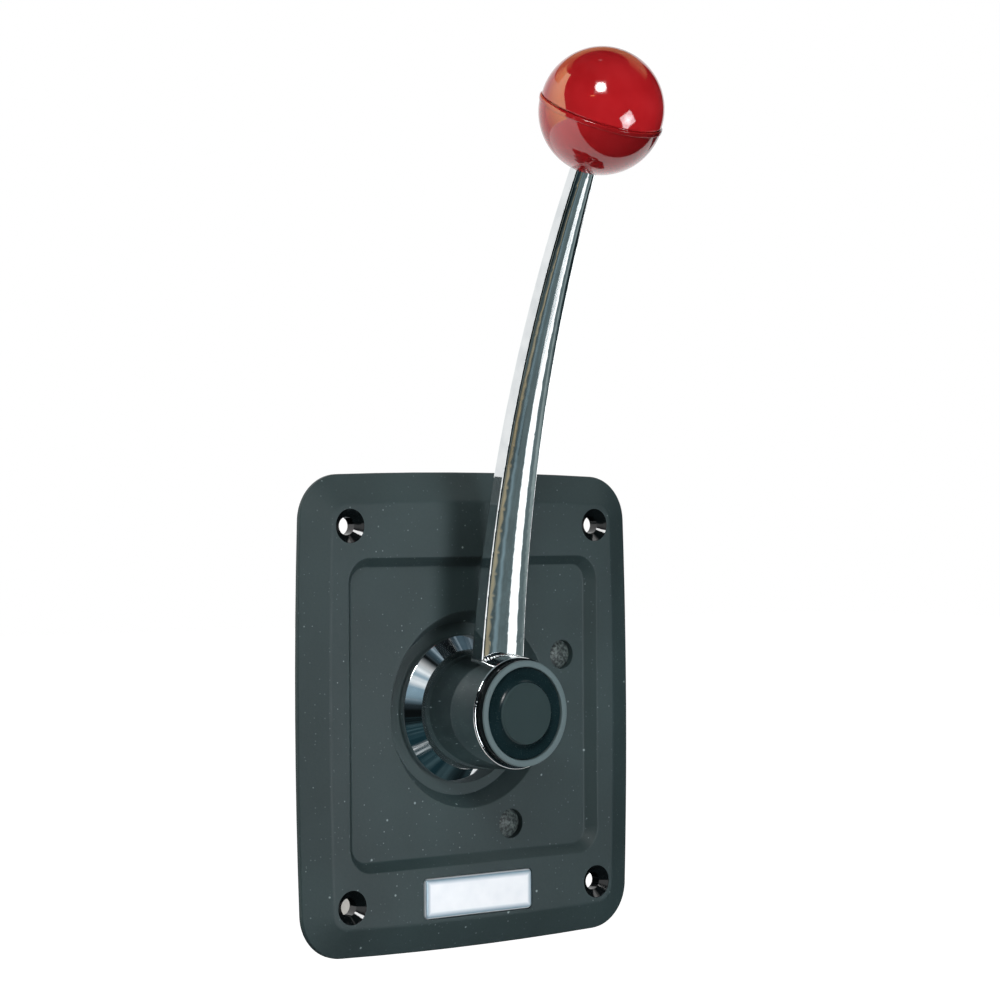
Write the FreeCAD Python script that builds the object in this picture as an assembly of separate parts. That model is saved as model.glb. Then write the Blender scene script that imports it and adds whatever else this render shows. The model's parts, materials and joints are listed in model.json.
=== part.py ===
"""Side-mounted single-lever engine control: gear shift and throttle on one red-knobbed lever.

Millimetres, +Z up. The back of the cover plate lies in the plane Y = 0, which is the face of the
panel that the control is screwed to. The lever shaft runs along Y through the origin, the plate's
front faces -Y, and the mechanism hangs behind the panel at +Y.
"""
import FreeCAD
import Part
import math
import os

Vec = FreeCAD.Vector

# Cover plate
plate_half_x = 69.4
plate_half_z = 79.9
plate_rise = 6.0
plate_crown_x = 1.7
plate_crown_z = 1.6
plate_corner_r = 15.5
plate_wall = 2.4
plate_crease_r = 2.5
plate_side_r = 0.6
recess_mouth_r = 0.5
recess_floor_r = 0.8
well_mouth_edge_r = 0.4
bevel_run = 9.8
bevel_drop = 4.3
recess_margin_x = 17.2
recess_half_z = 51.5
recess_depth = 3.8
recess_wall_run = 3.0
recess_corner_r = 8.5
well_mouth_r = 33.2
well_floor_r = 29.3
well_depth = 6.2
mount_inset_x = 17.9
mount_half_z = 62.0
mount_hole_r = 3.0
countersink_r = 5.5
countersink_depth = 2.2
mount_boss_r = 8.0
rib_thick = 1.6
rib_spacing_x = 18.0
rib_spacing_z = 32.0
dimple_r = 5.05
dimple_depth = 2.2
dimple_dome = 1.5
dimple_circle_r = 43.1
dimple_angles = (23.6, -67.0)
dimple_boss_r = 7.0
dimple_floor_wall = 0.9

# Bare name plate
badge_half_x = 22.6
badge_half_z = 6.7
badge_z = -61.8
badge_thick = 1.4
badge_sink = 0.8
badge_gap = 0.3
badge_corner_r = 1.6
badge_edge_r = 1.0

# Lever hub
hub_base_r = 20.2
hub_base_y = -1.7
hub_rim_r = 18.5
hub_rim_y = -28.5
hub_rim_edge_r = 0.6
hub_neck_r = 17.0
hub_end_y = 3.6
hub_cavity_r = 16.2
hub_web_y = -12.0
flange_r = 25.1
flange_edge_y = 1.7
flange_corner_r = 0.5

# Cap ring and neutral button
ring_r = 17.5
ring_front_y = -32.2
ring_bore_r = 15.3
ring_spigot = 4.5
ring_edge_r = 0.5
button_gap = 0.3
button_edge_sink = 0.9
button_moat_depth = 0.3
button_disc_r = 10.3
button_disc_rise = 0.7
button_disc_edge = 0.4
button_lip = 1.0
button_lip_bulge = 0.08
button_skirt = 5.0
button_stem_r = 5.0
button_stem = 4.0
button_travel = 4.0

# Lever arm and knob
arm_root_y = -16.7
arm_root_z = 12.3
arm_root_tilt = 4.73
arm_bend_angle = 22.6
arm_bend_r = 433.0
arm_root_half_width = 8.9
arm_tip_half_width = 4.3
arm_root_depth = 6.4
arm_tip_depth = 4.0
arm_root_crown = 1.3
arm_tip_crown = 0.9
arm_edge_r = 0.7
arm_stations = 7
knob_r = 20.0
knob_cap_step = 0.2
knob_cap_edge_r = 0.3
knob_rim = 1.5
knob_rim_out = 0.25
knob_rim_rise = 0.3
knob_rim_r = 0.5
knob_rim_foot_r = 0.2
knob_groove = 0.35
knob_groove_depth = 0.9
knob_flat = 0.7
knob_spigot_r = 12.0
knob_spigot = 7.0
insert_r = 4.9
insert_flange_r = 7.5
insert_flange = 2.0
stud_r = 3.0
stud_length = 18.0
stud_root = 2.0

# Main shaft, push rod and clutch pin
shaft_r = 6.0
shaft_front_y = -11.0
shaft_tail_r = 4.5
shaft_tail_flat = 3.6
shaft_end_y = 52.0
rod_r = 3.0
clutch_pin_r = 2.0
clutch_pin_half = 9.0
clutch_pin_y = 17.0
rod_seat = 1.0
rod_end_past_pin = 1.0
grub_r = 3.0
grub_length = 6.0
grub_y = -6.0
grub_socket_r = 1.4
grub_socket_depth = 2.5
grub_flat_depth = 0.5
fit_gap = 0.05
free_gap = 0.3
slide_gap = 0.1
overcut = 1.0

# Mechanism housing and its rear cover
housing_half_x = 37.0
housing_top_z = 57.0
housing_bottom_z = -46.0
housing_corner_r = 10.0
housing_wall = 4.0
housing_front_wall = 3.5
cover_front_y = 30.0
cover_thick = 4.0
column_r = 6.0
column_inset_x = 6.0
column_inset_z = 7.0
screw_r = 2.5
screw_head_r = 4.5
screw_head = 3.0
screw_head_edge_r = 0.8
screw_socket_across = 4.0
screw_tip_y = 0.8
socket_depth = 1.6
pilot_boss_r = 5.2
bush_wall = 2.5
bush_boss_wall = 2.5
shift_bush_inset = 4.0
seal_r = 12.0
seal_thick = 2.0
main_boss_r = 11.0
main_boss_end_y = 38.0
shift_boss_r = 9.5
shift_boss_end_y = 55.4
gusset_thick = 3.0
gusset_rise = 3.0
gusset_x = 4.0
gusset_bury = 2.0

# Gears
gear_module = 1.5
pinion_teeth = 16
sector_teeth_full = 40
sector_teeth_cut = 12
gear_dedendum = 1.25
gear_flank_points = 5
pressure_angle = 20.0
backlash = 0.16
pinion_y = 11.0
pinion_width = 8.0
sector_y = 11.5
sector_width = 7.0
sector_hub_r = 9.0
sector_hub_end_y = 24.0
sector_window_r = 4.0
sector_window_angle = 20.0
sector_hub_overlap = 2.0
clutch_slot_depth = 4.2
clutch_slot_end = 0.5

# Shift shaft and arm
shift_shaft_r = 5.0
shift_tail_r = 4.0
shift_tail_flat = 3.2
shift_shaft_front_y = 7.4
shift_end_y = 66.5
arm_thick = 4.0
shift_arm_length = 40.0
shift_arm_y = 55.7
arm_hub_r = 11.0
arm_eye_r = 7.0
crank_length = 30.0
crank_y = 41.3
washer_thick = 1.0
washer_r = 8.0
thrust_washer_r = 9.0
nut_across = 13.0
nut_thick = 4.0

# Cable swivels and their clamps
swivel_r = 6.0
swivel_length = 10.0
swivel_journal_r = 3.0
swivel_rod_r = 2.5
swivel_flat = 5.0
clip_r = 5.2
clip_thick = 0.8
bracket_thick = 3.0
bracket_top_z = -32.0
bracket_bottom_z = -84.0
bracket_left_x = -38.0
bracket_right_x = 55.0
bracket_foot_left_x = -22.0
bracket_foot_top_z = -60.0
bracket_corner_r = 6.0
conduit_r = 7.15
clamp_half_x = 11.8
clamp_length = 16.0
clamp_z = -74.0
clamp_rear_wall = 5.0
clamp_corner_r = 3.0
clamp_foot = 4.0
clamp_slit = 1.2
clamp_screw_x = 9.4
clamp_screw_r = 1.6
clamp_screw_head_r = 2.9
clamp_screw_head = 2.0
clamp_screw_tip = 0.5

# Detent and friction brake
disc_r = 20.0
disc_y = 23.4
disc_width = 4.6
disc_hub_r = 10.0
disc_notch_r = 3.8
disc_notch_angles = (-30.0, 0.0, 30.0)
ball_r = 3.0
ball_clearance = 0.35
guide_half = 6.2
guide_mouth_gap = 1.2
plug_r = 3.5
plug_length = 8.0
plug_sink = 1.0
slot_width = 1.2
slot_depth = 1.2
pad_r = 3.9
pad_length = 6.0
locknut_across = 11.0
locknut_thick = 3.2
friction_screw_r = 3.5
friction_screw_out = 5.0
clip_journal_tail = 0.5
spring_wire_r = 0.55
spring_wire_sides = 8
button_spring_coil_r = 7.4
button_spring_turns = 4.0
detent_spring_coil_r = 2.3
detent_spring_turns = 5.0

# Places that follow from the sizes above
front_y = -plate_rise
recess_half_x = plate_half_x - recess_margin_x
mount_half_x = plate_half_x - mount_inset_x
recess_y = front_y + recess_depth
well_y = recess_y + well_depth
well_back_y = well_y + plate_wall
housing_front_y = well_back_y
cavity_front_y = housing_front_y + housing_front_wall
cover_back_y = cover_front_y + cover_thick
axis_distance = gear_module * (pinion_teeth + sector_teeth_full) / 2
shift_z = axis_distance
column_x = housing_half_x - column_inset_x
column_places = [
    (side * column_x, z)
    for z in (housing_bottom_z + column_inset_z, housing_top_z - column_inset_z)
    for side in (-1, 1)
]
mount_places = [(sx * mount_half_x, sz * mount_half_z) for sx in (-1, 1) for sz in (-1, 1)]
disc_mid_y = disc_y + disc_width / 2
button_front_y = ring_front_y + button_edge_sink
button_back_y = button_front_y + button_skirt
throttle_rod_y = crank_y + arm_thick + free_gap + swivel_length / 2
shift_rod_y = shift_arm_y + arm_thick + free_gap + swivel_length / 2
throttle_tip = (0.0, -crank_length)
shift_tip = (shift_arm_length, shift_z)
detent_turn = 90.0
friction_turn = 0.0
plug_start = -housing_bottom_z - plug_length - plug_sink
crank_washer_y = crank_y + arm_thick
shift_washer_y = shift_arm_y + arm_thick
bracket_back_y = cover_back_y + bracket_thick
insert_length = knob_r - knob_flat - knob_spigot


# Helpers for shapes that repeat
def cylinder_y(radius, y0, y1, x=0.0, z=0.0):
    """Cylinder along Y from y0 to y1."""
    return Part.makeCylinder(radius, y1 - y0, Vec(x, y0, z), Vec(0, 1, 0))


def tube_y(outer, inner, y0, y1, x=0.0, z=0.0):
    return cylinder_y(outer, y0, y1, x, z).cut(cylinder_y(inner, y0, y1, x, z))


def revolve_y(points, x=0.0, z=0.0):
    """Turned piece about the Y axis from (radius, y) corners."""
    corners = [Vec(radius, y, 0) for radius, y in points]
    face = Part.Face(Part.makePolygon(corners + corners[:1]))
    solid = face.revolve(Vec(0, 0, 0), Vec(0, 1, 0), 360)
    solid.translate(Vec(x, 0, z))
    return solid


def hexagon(across, y0, y1, x=0.0, z=0.0):
    reach = across / math.sqrt(3)
    ring = [
        Vec(x + reach * math.cos(math.radians(60 * k)), y0, z + reach * math.sin(math.radians(60 * k)))
        for k in range(7)
    ]
    return Part.Face(Part.makePolygon(ring)).extrude(Vec(0, y1 - y0, 0))


def block(x0, x1, y0, y1, z0, z1):
    return Part.makeBox(x1 - x0, y1 - y0, z1 - z0, Vec(x0, y0, z0))


def rounded_rectangle(half_x, half_z, corner, y, x=0.0, z=0.0):
    """Closed wire in a plane of constant Y, with round corners."""
    edges = []
    inner_x = half_x - corner
    inner_z = half_z - corner
    diagonal = corner / math.sqrt(2)
    signs = [(1, 1), (-1, 1), (-1, -1), (1, -1)]
    for k, (sx, sz) in enumerate(signs):
        side = Vec(x + sx * half_x, y, z + sz * inner_z)
        end = Vec(x + sx * inner_x, y, z + sz * half_z)
        middle = Vec(x + sx * (inner_x + diagonal), y, z + sz * (inner_z + diagonal))
        first, last = (side, end) if k % 2 == 0 else (end, side)
        edges.append(Part.Arc(first, middle, last).toShape())
        nx, nz = signs[(k + 1) % 4]
        if k % 2 == 0:
            following = Vec(x + nx * inner_x, y, z + nz * half_z)
        else:
            following = Vec(x + nx * half_x, y, z + nz * inner_z)
        edges.append(Part.makeLine(last, following))
    return Part.Wire(edges)


def rounded_block(half_x, half_z, corner, y0, y1, x=0.0, z=0.0):
    wire = rounded_rectangle(half_x, half_z, corner, y0, x, z)
    return Part.Face(wire).extrude(Vec(0, y1 - y0, 0))


def crowned_block(half_x, half_z, corner, y0, y1):
    """Block along Y whose four sides bulge slightly and whose corners are round."""
    edge_x = half_x - plate_crown_x
    edge_z = half_z - plate_crown_z
    corners = [Vec(sx * edge_x, y0, sz * edge_z) for sx, sz in ((1, -1), (1, 1), (-1, 1), (-1, -1))]
    crests = [Vec(half_x, y0, 0), Vec(0, y0, half_z), Vec(-half_x, y0, 0), Vec(0, y0, -half_z)]
    arcs = [Part.Arc(corners[k], crests[k], corners[(k + 1) % 4]).toShape() for k in range(4)]
    solid = Part.Face(Part.Wire(arcs)).extrude(Vec(0, y1 - y0, 0))
    upright = [edge for edge in solid.Edges if edge.BoundBox.YLength > abs(y1 - y0) * 0.9]
    return solid.makeFillet(corner, upright)


def lies_at(edge, y):
    return abs(edge.BoundBox.YMin - y) < 1e-3 and edge.BoundBox.YLength < 1e-3


def bevel_front(solid, y, run, drop):
    """Slope the edge all round the face at the given Y, away from the viewer."""
    return solid.makeChamfer(drop, run, [edge for edge in solid.Edges if lies_at(edge, y)])


def fillet_where(solid, radius, wanted):
    return solid.makeFillet(radius, [edge for edge in solid.Edges if wanted(edge)])


def spring_y(coil_r, wire_r, y0, y1, turns, x=0.0, z=0.0):
    """Coil spring between two planes of constant Y, touching both; its wire has a few flats."""
    length = y1 - y0 - 2 * wire_r
    helix = Part.makeLongHelix(length / turns, length, coil_r)
    ring = [
        Vec(coil_r + wire_r * math.cos(2 * math.pi * k / spring_wire_sides), 0,
            wire_r * math.sin(2 * math.pi * k / spring_wire_sides))
        for k in range(spring_wire_sides + 1)
    ]
    coil = Part.Wire(helix.Edges).makePipeShell([Part.makePolygon(ring)], True, True)
    coil.rotate(Vec(0, 0, 0), Vec(1, 0, 0), -90)
    coil.translate(Vec(x, y0 + wire_r, z))
    return coil


def gear_outline_angle(radius, base_r):
    """Involute function at the radius: how far the flank has turned from the base circle."""
    if radius <= base_r:
        return 0.0
    roll = math.acos(base_r / radius)
    return math.tan(roll) - roll


def gear_face(teeth, tooth_centres, y, x, z, close_to):
    """Face with involute teeth at the given angles; between the ends it closes through close_to."""
    pitch_r = gear_module * teeth / 2
    base_r = pitch_r * math.cos(math.radians(pressure_angle))
    tip_r = pitch_r + gear_module
    root_r = pitch_r - gear_dedendum * gear_module
    half_pitch = math.pi / (2 * teeth) - backlash / (2 * pitch_r)
    at_base = half_pitch + gear_outline_angle(pitch_r, base_r)
    flank_r = max(root_r, base_r)
    last = gear_flank_points - 1
    radii = [root_r] + [flank_r + (tip_r - flank_r) * k / last for k in range(gear_flank_points)]
    points = []
    for centre in tooth_centres:
        middle = math.radians(centre)
        left = [(r, middle - at_base + gear_outline_angle(r, base_r)) for r in radii]
        right = [(r, middle + at_base - gear_outline_angle(r, base_r)) for r in reversed(radii)]
        points += [Vec(x + r * math.cos(a), y, z + r * math.sin(a)) for r, a in left + right]
    points += close_to
    distinct = [p for k, p in enumerate(points) if p.distanceToPoint(points[k - 1]) > 1e-6]
    return Part.Face(Part.makePolygon(distinct + distinct[:1]))


# Cover plate and what is fixed to its front
def plate_recess():
    outer = rounded_rectangle(recess_half_x, recess_half_z, recess_corner_r, front_y)
    floor_corner_r = recess_corner_r - recess_wall_run
    floor = rounded_rectangle(
        recess_half_x - recess_wall_run, recess_half_z - recess_wall_run, floor_corner_r, recess_y
    )
    recess = Part.makeLoft([outer, floor], True, True)
    return fillet_where(recess, recess_floor_r, lambda edge: lies_at(edge, recess_y))


def plate_pocket():
    """Hollow behind the rim, between the outer edge and the recess, with ribs and screw bosses."""
    roof_y = front_y + plate_wall
    pocket = crowned_block(plate_half_x - plate_wall, plate_half_z - plate_wall, plate_corner_r - plate_wall,
                           0.0, roof_y)
    share = (roof_y - front_y) / bevel_drop
    roof_run = bevel_run * (1 - share) + plate_wall
    roof_drop = bevel_drop * (1 - share) + overcut
    pocket = bevel_front(pocket, roof_y, roof_run, roof_drop)
    core = rounded_block(recess_half_x + plate_wall, recess_half_z + plate_wall, recess_corner_r,
                         overcut, front_y)
    pocket = pocket.cut(core)
    kept = [rounded_block(rib_thick / 2, plate_half_z, rib_thick / 3, overcut, front_y, x=rib_spacing_x * k)
            for k in range(-2, 3)]
    kept += [rounded_block(plate_half_x, rib_thick / 2, rib_thick / 3, overcut, front_y, z=rib_spacing_z * k)
             for k in range(-1, 2)]
    kept += [cylinder_y(mount_boss_r, front_y, overcut, x, z) for x, z in mount_places]
    kept += [cylinder_y(pilot_boss_r, front_y, overcut, x, z) for x, z in column_places if z > 0]
    return pocket.cut(kept)


def dimple(angle):
    """Blind round pocket with a slightly domed floor, and the boss behind it."""
    x = dimple_circle_r * math.cos(math.radians(angle))
    z = dimple_circle_r * math.sin(math.radians(angle))
    floor_y = recess_y + dimple_depth
    dome_r = (dimple_r ** 2 + dimple_dome ** 2) / (2 * dimple_dome)
    dome = Part.makeSphere(dome_r, Vec(x, floor_y - dimple_dome + dome_r, z))
    pocket = cylinder_y(dimple_r, recess_y - overcut, floor_y, x, z).cut(dome)
    boss = cylinder_y(dimple_boss_r, recess_y + plate_wall / 2, floor_y + dimple_floor_wall, x, z)
    return pocket, boss


def mount_hole(x, z):
    """Screw hole with a flat countersink at the front."""
    sink = revolve_y([(0, front_y - overcut), (countersink_r, front_y - overcut), (countersink_r, front_y),
                      (mount_hole_r, front_y + countersink_depth), (0, front_y + countersink_depth)], x, z)
    return sink.fuse(cylinder_y(mount_hole_r, front_y, overcut, x, z))


def make_cover_plate():
    """Moulded plate: sloped rim, sunk panel with a conical well, and the hollow side behind."""
    plate = crowned_block(plate_half_x, plate_half_z, plate_corner_r, 0.0, front_y)
    plate = bevel_front(plate, front_y, bevel_run, bevel_drop)
    plate = fillet_where(plate, plate_crease_r, lambda edge: lies_at(edge, front_y))
    plate = fillet_where(plate, plate_side_r, lambda edge: lies_at(edge, front_y + bevel_drop))
    plate = plate.cut(plate_recess())
    plate = fillet_where(plate, recess_mouth_r, lambda edge: lies_at(edge, front_y)
                         and edge.BoundBox.XMax < recess_half_x + recess_wall_run
                         and edge.BoundBox.XMin > -recess_half_x - recess_wall_run
                         and edge.BoundBox.ZMax < recess_half_z + recess_wall_run)
    plate = plate.cut(plate_pocket())
    buried_y = recess_y + plate_wall / 4
    well_outer_r = well_mouth_r + plate_wall
    well_shell = revolve_y([
        (0, buried_y), (well_outer_r, buried_y), (well_outer_r, 0.0),
        (well_floor_r + plate_wall, well_back_y), (0, well_back_y),
    ])
    dimples = [dimple(angle) for angle in dimple_angles]
    pilots = [cylinder_y(pilot_boss_r, buried_y, housing_front_y, x, z) for x, z in column_places]
    plate = plate.fuse([well_shell] + [boss for pocket, boss in dimples] + pilots)
    slope = (well_mouth_r - well_floor_r) / well_depth
    well = revolve_y([(0, recess_y - overcut), (well_mouth_r + slope * overcut, recess_y - overcut),
                      (well_floor_r, well_y), (0, well_y)])
    pockets = [pocket for pocket, boss in dimples]
    pockets += [well, cylinder_y(seal_r, well_y - overcut, well_back_y + overcut)]
    pockets += [cylinder_y(screw_r, screw_tip_y, housing_front_y + overcut, x, z) for x, z in column_places]
    pockets += [mount_hole(x, z) for x, z in mount_places]
    pockets.append(rounded_block(badge_half_x + badge_gap, badge_half_z + badge_gap,
                                 badge_corner_r + badge_gap, front_y - overcut, front_y + badge_sink,
                                 z=badge_z))
    plate = plate.cut(pockets).removeSplitter()
    return fillet_where(plate, well_mouth_edge_r, lambda edge: lies_at(edge, recess_y)
                        and abs(edge.BoundBox.XMax - well_mouth_r) < 1e-3)


def make_name_plate():
    """Bare badge with a domed face: its front edge rolls over all round."""
    back_y = front_y + badge_sink
    face_y = back_y - badge_thick
    badge = rounded_block(badge_half_x, badge_half_z, badge_corner_r, back_y, face_y, z=badge_z)
    return fillet_where(badge, badge_edge_r, lambda edge: lies_at(edge, face_y))


# Lever hub, its flange, the cap ring and the button
def make_lever_hub():
    """Cup on the shaft's front end; the lever arm is welded to its side."""
    body = revolve_y([
        (0, hub_rim_y), (hub_rim_r, hub_rim_y), (hub_base_r, hub_base_y),
        (hub_neck_r, hub_base_y), (hub_neck_r, hub_end_y), (0, hub_end_y),
    ])
    body = fillet_where(body, hub_rim_edge_r, lambda edge: lies_at(edge, hub_rim_y))
    cuts = [
        cylinder_y(hub_cavity_r, hub_rim_y - overcut, hub_web_y),
        cylinder_y(shaft_r, shaft_front_y, hub_end_y + overcut),
        cylinder_y(rod_r + slide_gap, hub_web_y - overcut, shaft_front_y + overcut),
        Part.makeCylinder(grub_r, hub_base_r, Vec(0, grub_y, -shaft_r + grub_flat_depth), Vec(0, 0, -1)),
    ]
    return body.cut(cuts)


def make_hub_flange():
    flange = revolve_y([
        (hub_neck_r, hub_base_y), (hub_base_r, hub_base_y), (flange_r, flange_edge_y),
        (flange_r, hub_end_y), (hub_neck_r, hub_end_y),
    ])
    return fillet_where(flange, flange_corner_r, lambda edge: lies_at(edge, flange_edge_y)
                        and abs(edge.BoundBox.XMax - flange_r) < 1e-3)


def make_button_ring():
    ring = revolve_y([
        (ring_bore_r, ring_front_y), (ring_r, ring_front_y), (ring_r, hub_rim_y),
        (hub_cavity_r, hub_rim_y), (hub_cavity_r, hub_rim_y + ring_spigot),
        (ring_bore_r, hub_rim_y + ring_spigot),
    ])
    return fillet_where(ring, ring_edge_r, lambda edge: lies_at(edge, ring_front_y))


def make_neutral_button():
    """Thumb button: a flat centre disc inside a dished ring, with a stem for the push rod."""
    outer = ring_bore_r - button_gap
    disc_y_front = ring_front_y - button_disc_rise
    moat_y = button_front_y + button_moat_depth
    moat_r = (outer + button_disc_r) / 2
    edge = [
        Part.makeLine(Vec(0, disc_y_front, 0), Vec(button_disc_r - button_disc_edge, disc_y_front, 0)),
        Part.Arc(Vec(button_disc_r - button_disc_edge, disc_y_front, 0),
                 Vec(button_disc_r, (disc_y_front + moat_y) / 2, 0), Vec(moat_r, moat_y, 0)).toShape(),
        Part.Arc(Vec(moat_r, moat_y, 0),
                 Vec(outer - button_lip, (button_front_y + moat_y) / 2 + button_lip_bulge, 0),
                 Vec(outer, button_front_y, 0)).toShape(),
    ]
    back = [Vec(outer, button_front_y, 0), Vec(outer, button_back_y, 0), Vec(button_stem_r, button_back_y, 0),
            Vec(button_stem_r, button_back_y + button_stem, 0), Vec(0, button_back_y + button_stem, 0),
            Vec(0, disc_y_front, 0)]
    edge += [Part.makeLine(back[k], back[k + 1]) for k in range(len(back) - 1)]
    button = Part.Face(Part.Wire(edge)).revolve(Vec(0, 0, 0), Vec(0, 1, 0), 360)
    return button.cut(cylinder_y(rod_r, button_back_y - rod_seat, button_back_y + button_stem + overcut))


def make_button_spring():
    return spring_y(button_spring_coil_r, spring_wire_r, button_back_y + free_gap, hub_web_y - free_gap,
                    button_spring_turns)


# Lever arm: a flat-sided bar that tapers and bends outwards on one long radius
def arm_frame(share):
    """Point on the arm's centreline, and the unit vectors along it and outwards."""
    tilt = math.radians(arm_root_tilt + arm_bend_angle * share)
    root = math.radians(arm_root_tilt)
    y = arm_root_y - arm_bend_r * (math.cos(root) - math.cos(tilt))
    z = arm_root_z + arm_bend_r * (math.sin(tilt) - math.sin(root))
    along = Vec(0, -math.sin(tilt), math.cos(tilt))
    outward = Vec(0, -math.cos(tilt), -math.sin(tilt))
    return Vec(0, y, z), along, outward


arm_tip, knob_axis = arm_frame(1.0)[:2]
knob_centre = arm_tip + knob_axis * (knob_r - knob_flat)


def arm_section(share):
    """Flat back and sides, small round edges, and a front that bulges outwards."""
    centre, along, outward = arm_frame(share)
    width = arm_root_half_width + (arm_tip_half_width - arm_root_half_width) * share
    depth = arm_root_depth + (arm_tip_depth - arm_root_depth) * share
    crown = arm_root_crown + (arm_tip_crown - arm_root_crown) * share
    half = depth / 2
    r = arm_edge_r
    soft = r * (1 - math.sqrt(0.5))

    def at(x, v):
        return centre + Vec(x, 0, 0) + outward * v

    def arc(a, b, c):
        return Part.Arc(at(*a), at(*b), at(*c)).toShape()

    return Part.Wire([
        Part.makeLine(at(-width + r, -half), at(width - r, -half)),
        arc((width - r, -half), (width - soft, -half + soft), (width, -half + r)),
        Part.makeLine(at(width, -half + r), at(width, half - r)),
        arc((width, half - r), (width - soft, half - soft), (width - r, half)),
        arc((width - r, half), (0, half + crown), (-width + r, half)),
        arc((-width + r, half), (-width + soft, half - soft), (-width, half - r)),
        Part.makeLine(at(-width, half - r), at(-width, -half + r)),
        arc((-width, -half + r), (-width + soft, -half + soft), (-width + r, -half)),
    ])


def make_lever_arm():
    """Bar lofted through sections along its bend, shaped to the hub, with the knob's stud at its tip."""
    sections = [arm_section(k / (arm_stations - 1)) for k in range(arm_stations)]
    bar = Part.makeLoft(sections, True, False)
    hub_body = revolve_y([(0, hub_rim_y), (hub_rim_r, hub_rim_y), (hub_base_r, hub_base_y), (0, hub_base_y)])
    stud = Part.makeCylinder(stud_r, stud_root + stud_length, arm_tip - knob_axis * stud_root, knob_axis)
    return bar.fuse(stud).cut(hub_body)


def on_knob(solid):
    """Turn a piece made about +Z at the origin onto the knob's centre and axis."""
    solid.rotate(Vec(0, 0, 0), Vec(1, 0, 0), math.degrees(math.acos(knob_axis.z)))
    solid.translate(knob_centre)
    return solid


def knob_spigot_plug():
    """Round spigot under the upper half that locates it in the lower half."""
    return Part.makeCylinder(knob_spigot_r, knob_spigot + knob_rim_rise, Vec(0, 0, -knob_spigot))


def insert_blank():
    """Round brass insert from the knob's flat up to the spigot, with a collar that keeps it in."""
    bottom = -knob_r + knob_flat
    body = Part.makeCylinder(insert_r, insert_length, Vec(0, 0, bottom))
    collar_z = bottom + insert_length - insert_flange
    collar = Part.makeCylinder(insert_flange_r, insert_flange, Vec(0, 0, collar_z))
    return body.fuse(collar).removeSplitter()


def ball_zone(radius, z0, z1):
    slab = Part.makeBox(4 * radius, 4 * radius, z1 - z0, Vec(-2 * radius, -2 * radius, z0))
    return Part.makeSphere(radius).common(slab)


def make_knob_lower():
    """Half ball with a raised rim, whose rounded lip shows below the seam."""
    ball = ball_zone(knob_r, -knob_r + knob_flat, 0.0)
    rim = Part.makeCylinder(knob_r + knob_rim_out, knob_rim)
    rim = fillet_where(rim, knob_rim_r, lambda edge: edge.BoundBox.ZMin > knob_rim / 2)
    rim = fillet_where(rim, knob_rim_foot_r, lambda edge: edge.BoundBox.ZMax < knob_rim_foot_r / 2)
    rim.translate(Vec(0, 0, knob_rim_rise - knob_rim))
    return on_knob(ball.fuse(rim).cut([knob_spigot_plug(), insert_blank()]))


def make_knob_upper():
    """Slightly smaller half ball on a neck that leaves the groove, with its locating spigot."""
    cap = ball_zone(knob_r - knob_cap_step, 0.0, knob_r)
    cap = fillet_where(cap, knob_cap_edge_r, lambda edge: edge.BoundBox.ZMax < knob_cap_edge_r / 2)
    cap.translate(Vec(0, 0, knob_rim_rise + knob_groove))
    neck = Part.makeCylinder(knob_r - knob_groove_depth, knob_groove, Vec(0, 0, knob_rim_rise))
    stud_top = stud_length - knob_r + knob_flat
    stud_hole = Part.makeCylinder(stud_r, stud_top + knob_spigot + slide_gap, Vec(0, 0, -knob_spigot))
    return on_knob(cap.fuse([neck, knob_spigot_plug()]).removeSplitter().cut(stud_hole))


def make_knob_insert():
    bore = Part.makeCylinder(stud_r, 2 * knob_r, Vec(0, 0, -knob_r))
    return on_knob(insert_blank().cut(bore))


# Shaft, clutch and what turns with the lever
def make_main_shaft():
    """Hollow shaft with a cross slot for the clutch pin and a flatted, threaded tail."""
    shaft = cylinder_y(shaft_r, shaft_front_y, crank_y)
    tail = flatted_tail(shaft_tail_r, shaft_tail_flat, crank_y - overcut, shaft_end_y)
    slot_half = clutch_pin_r + slide_gap
    slot_front_y = clutch_pin_y - slot_half
    slot_back_y = clutch_pin_y + button_travel + slot_half
    slot = block(-shaft_r - overcut, shaft_r + overcut, slot_front_y, slot_back_y, -slot_half, slot_half)
    bore_end_y = slot_back_y + rod_end_past_pin
    bore = cylinder_y(rod_r + fit_gap, shaft_front_y - overcut, bore_end_y)
    flat = block(-shaft_r, shaft_r, grub_y - grub_r, grub_y + grub_r,
                 -shaft_r - overcut, -shaft_r + grub_flat_depth)
    return shaft.fuse(tail).cut([bore, slot, flat]).removeSplitter()


def flatted_tail(radius, flat, y0, y1, x=0.0, z=0.0):
    """Round end with two flats, for an arm that must not slip."""
    return cylinder_y(radius, y0, y1, x, z).common(block(x - radius, x + radius, y0, y1, z - flat, z + flat))


def make_push_rod():
    """Rod inside the shaft, from the button to the clutch pin that crosses it."""
    rod = cylinder_y(rod_r, button_back_y - rod_seat, clutch_pin_y + clutch_pin_r + rod_end_past_pin)
    hole = Part.makeCylinder(clutch_pin_r, 4 * rod_r, Vec(-2 * rod_r, clutch_pin_y, 0), Vec(1, 0, 0))
    return rod.cut(hole)


def make_clutch_pin():
    end = Vec(-clutch_pin_half, clutch_pin_y, 0)
    return Part.makeCylinder(clutch_pin_r, 2 * clutch_pin_half, end, Vec(1, 0, 0))


def make_grub_screw():
    """Socket screw that bears on the shaft's flat."""
    end_z = -shaft_r + grub_flat_depth - grub_length
    screw = Part.makeCylinder(grub_r, grub_length, Vec(0, grub_y, end_z), Vec(0, 0, 1))
    socket = Part.makeCylinder(grub_socket_r, grub_socket_depth, Vec(0, grub_y, end_z), Vec(0, 0, 1))
    return screw.cut(socket)


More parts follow.
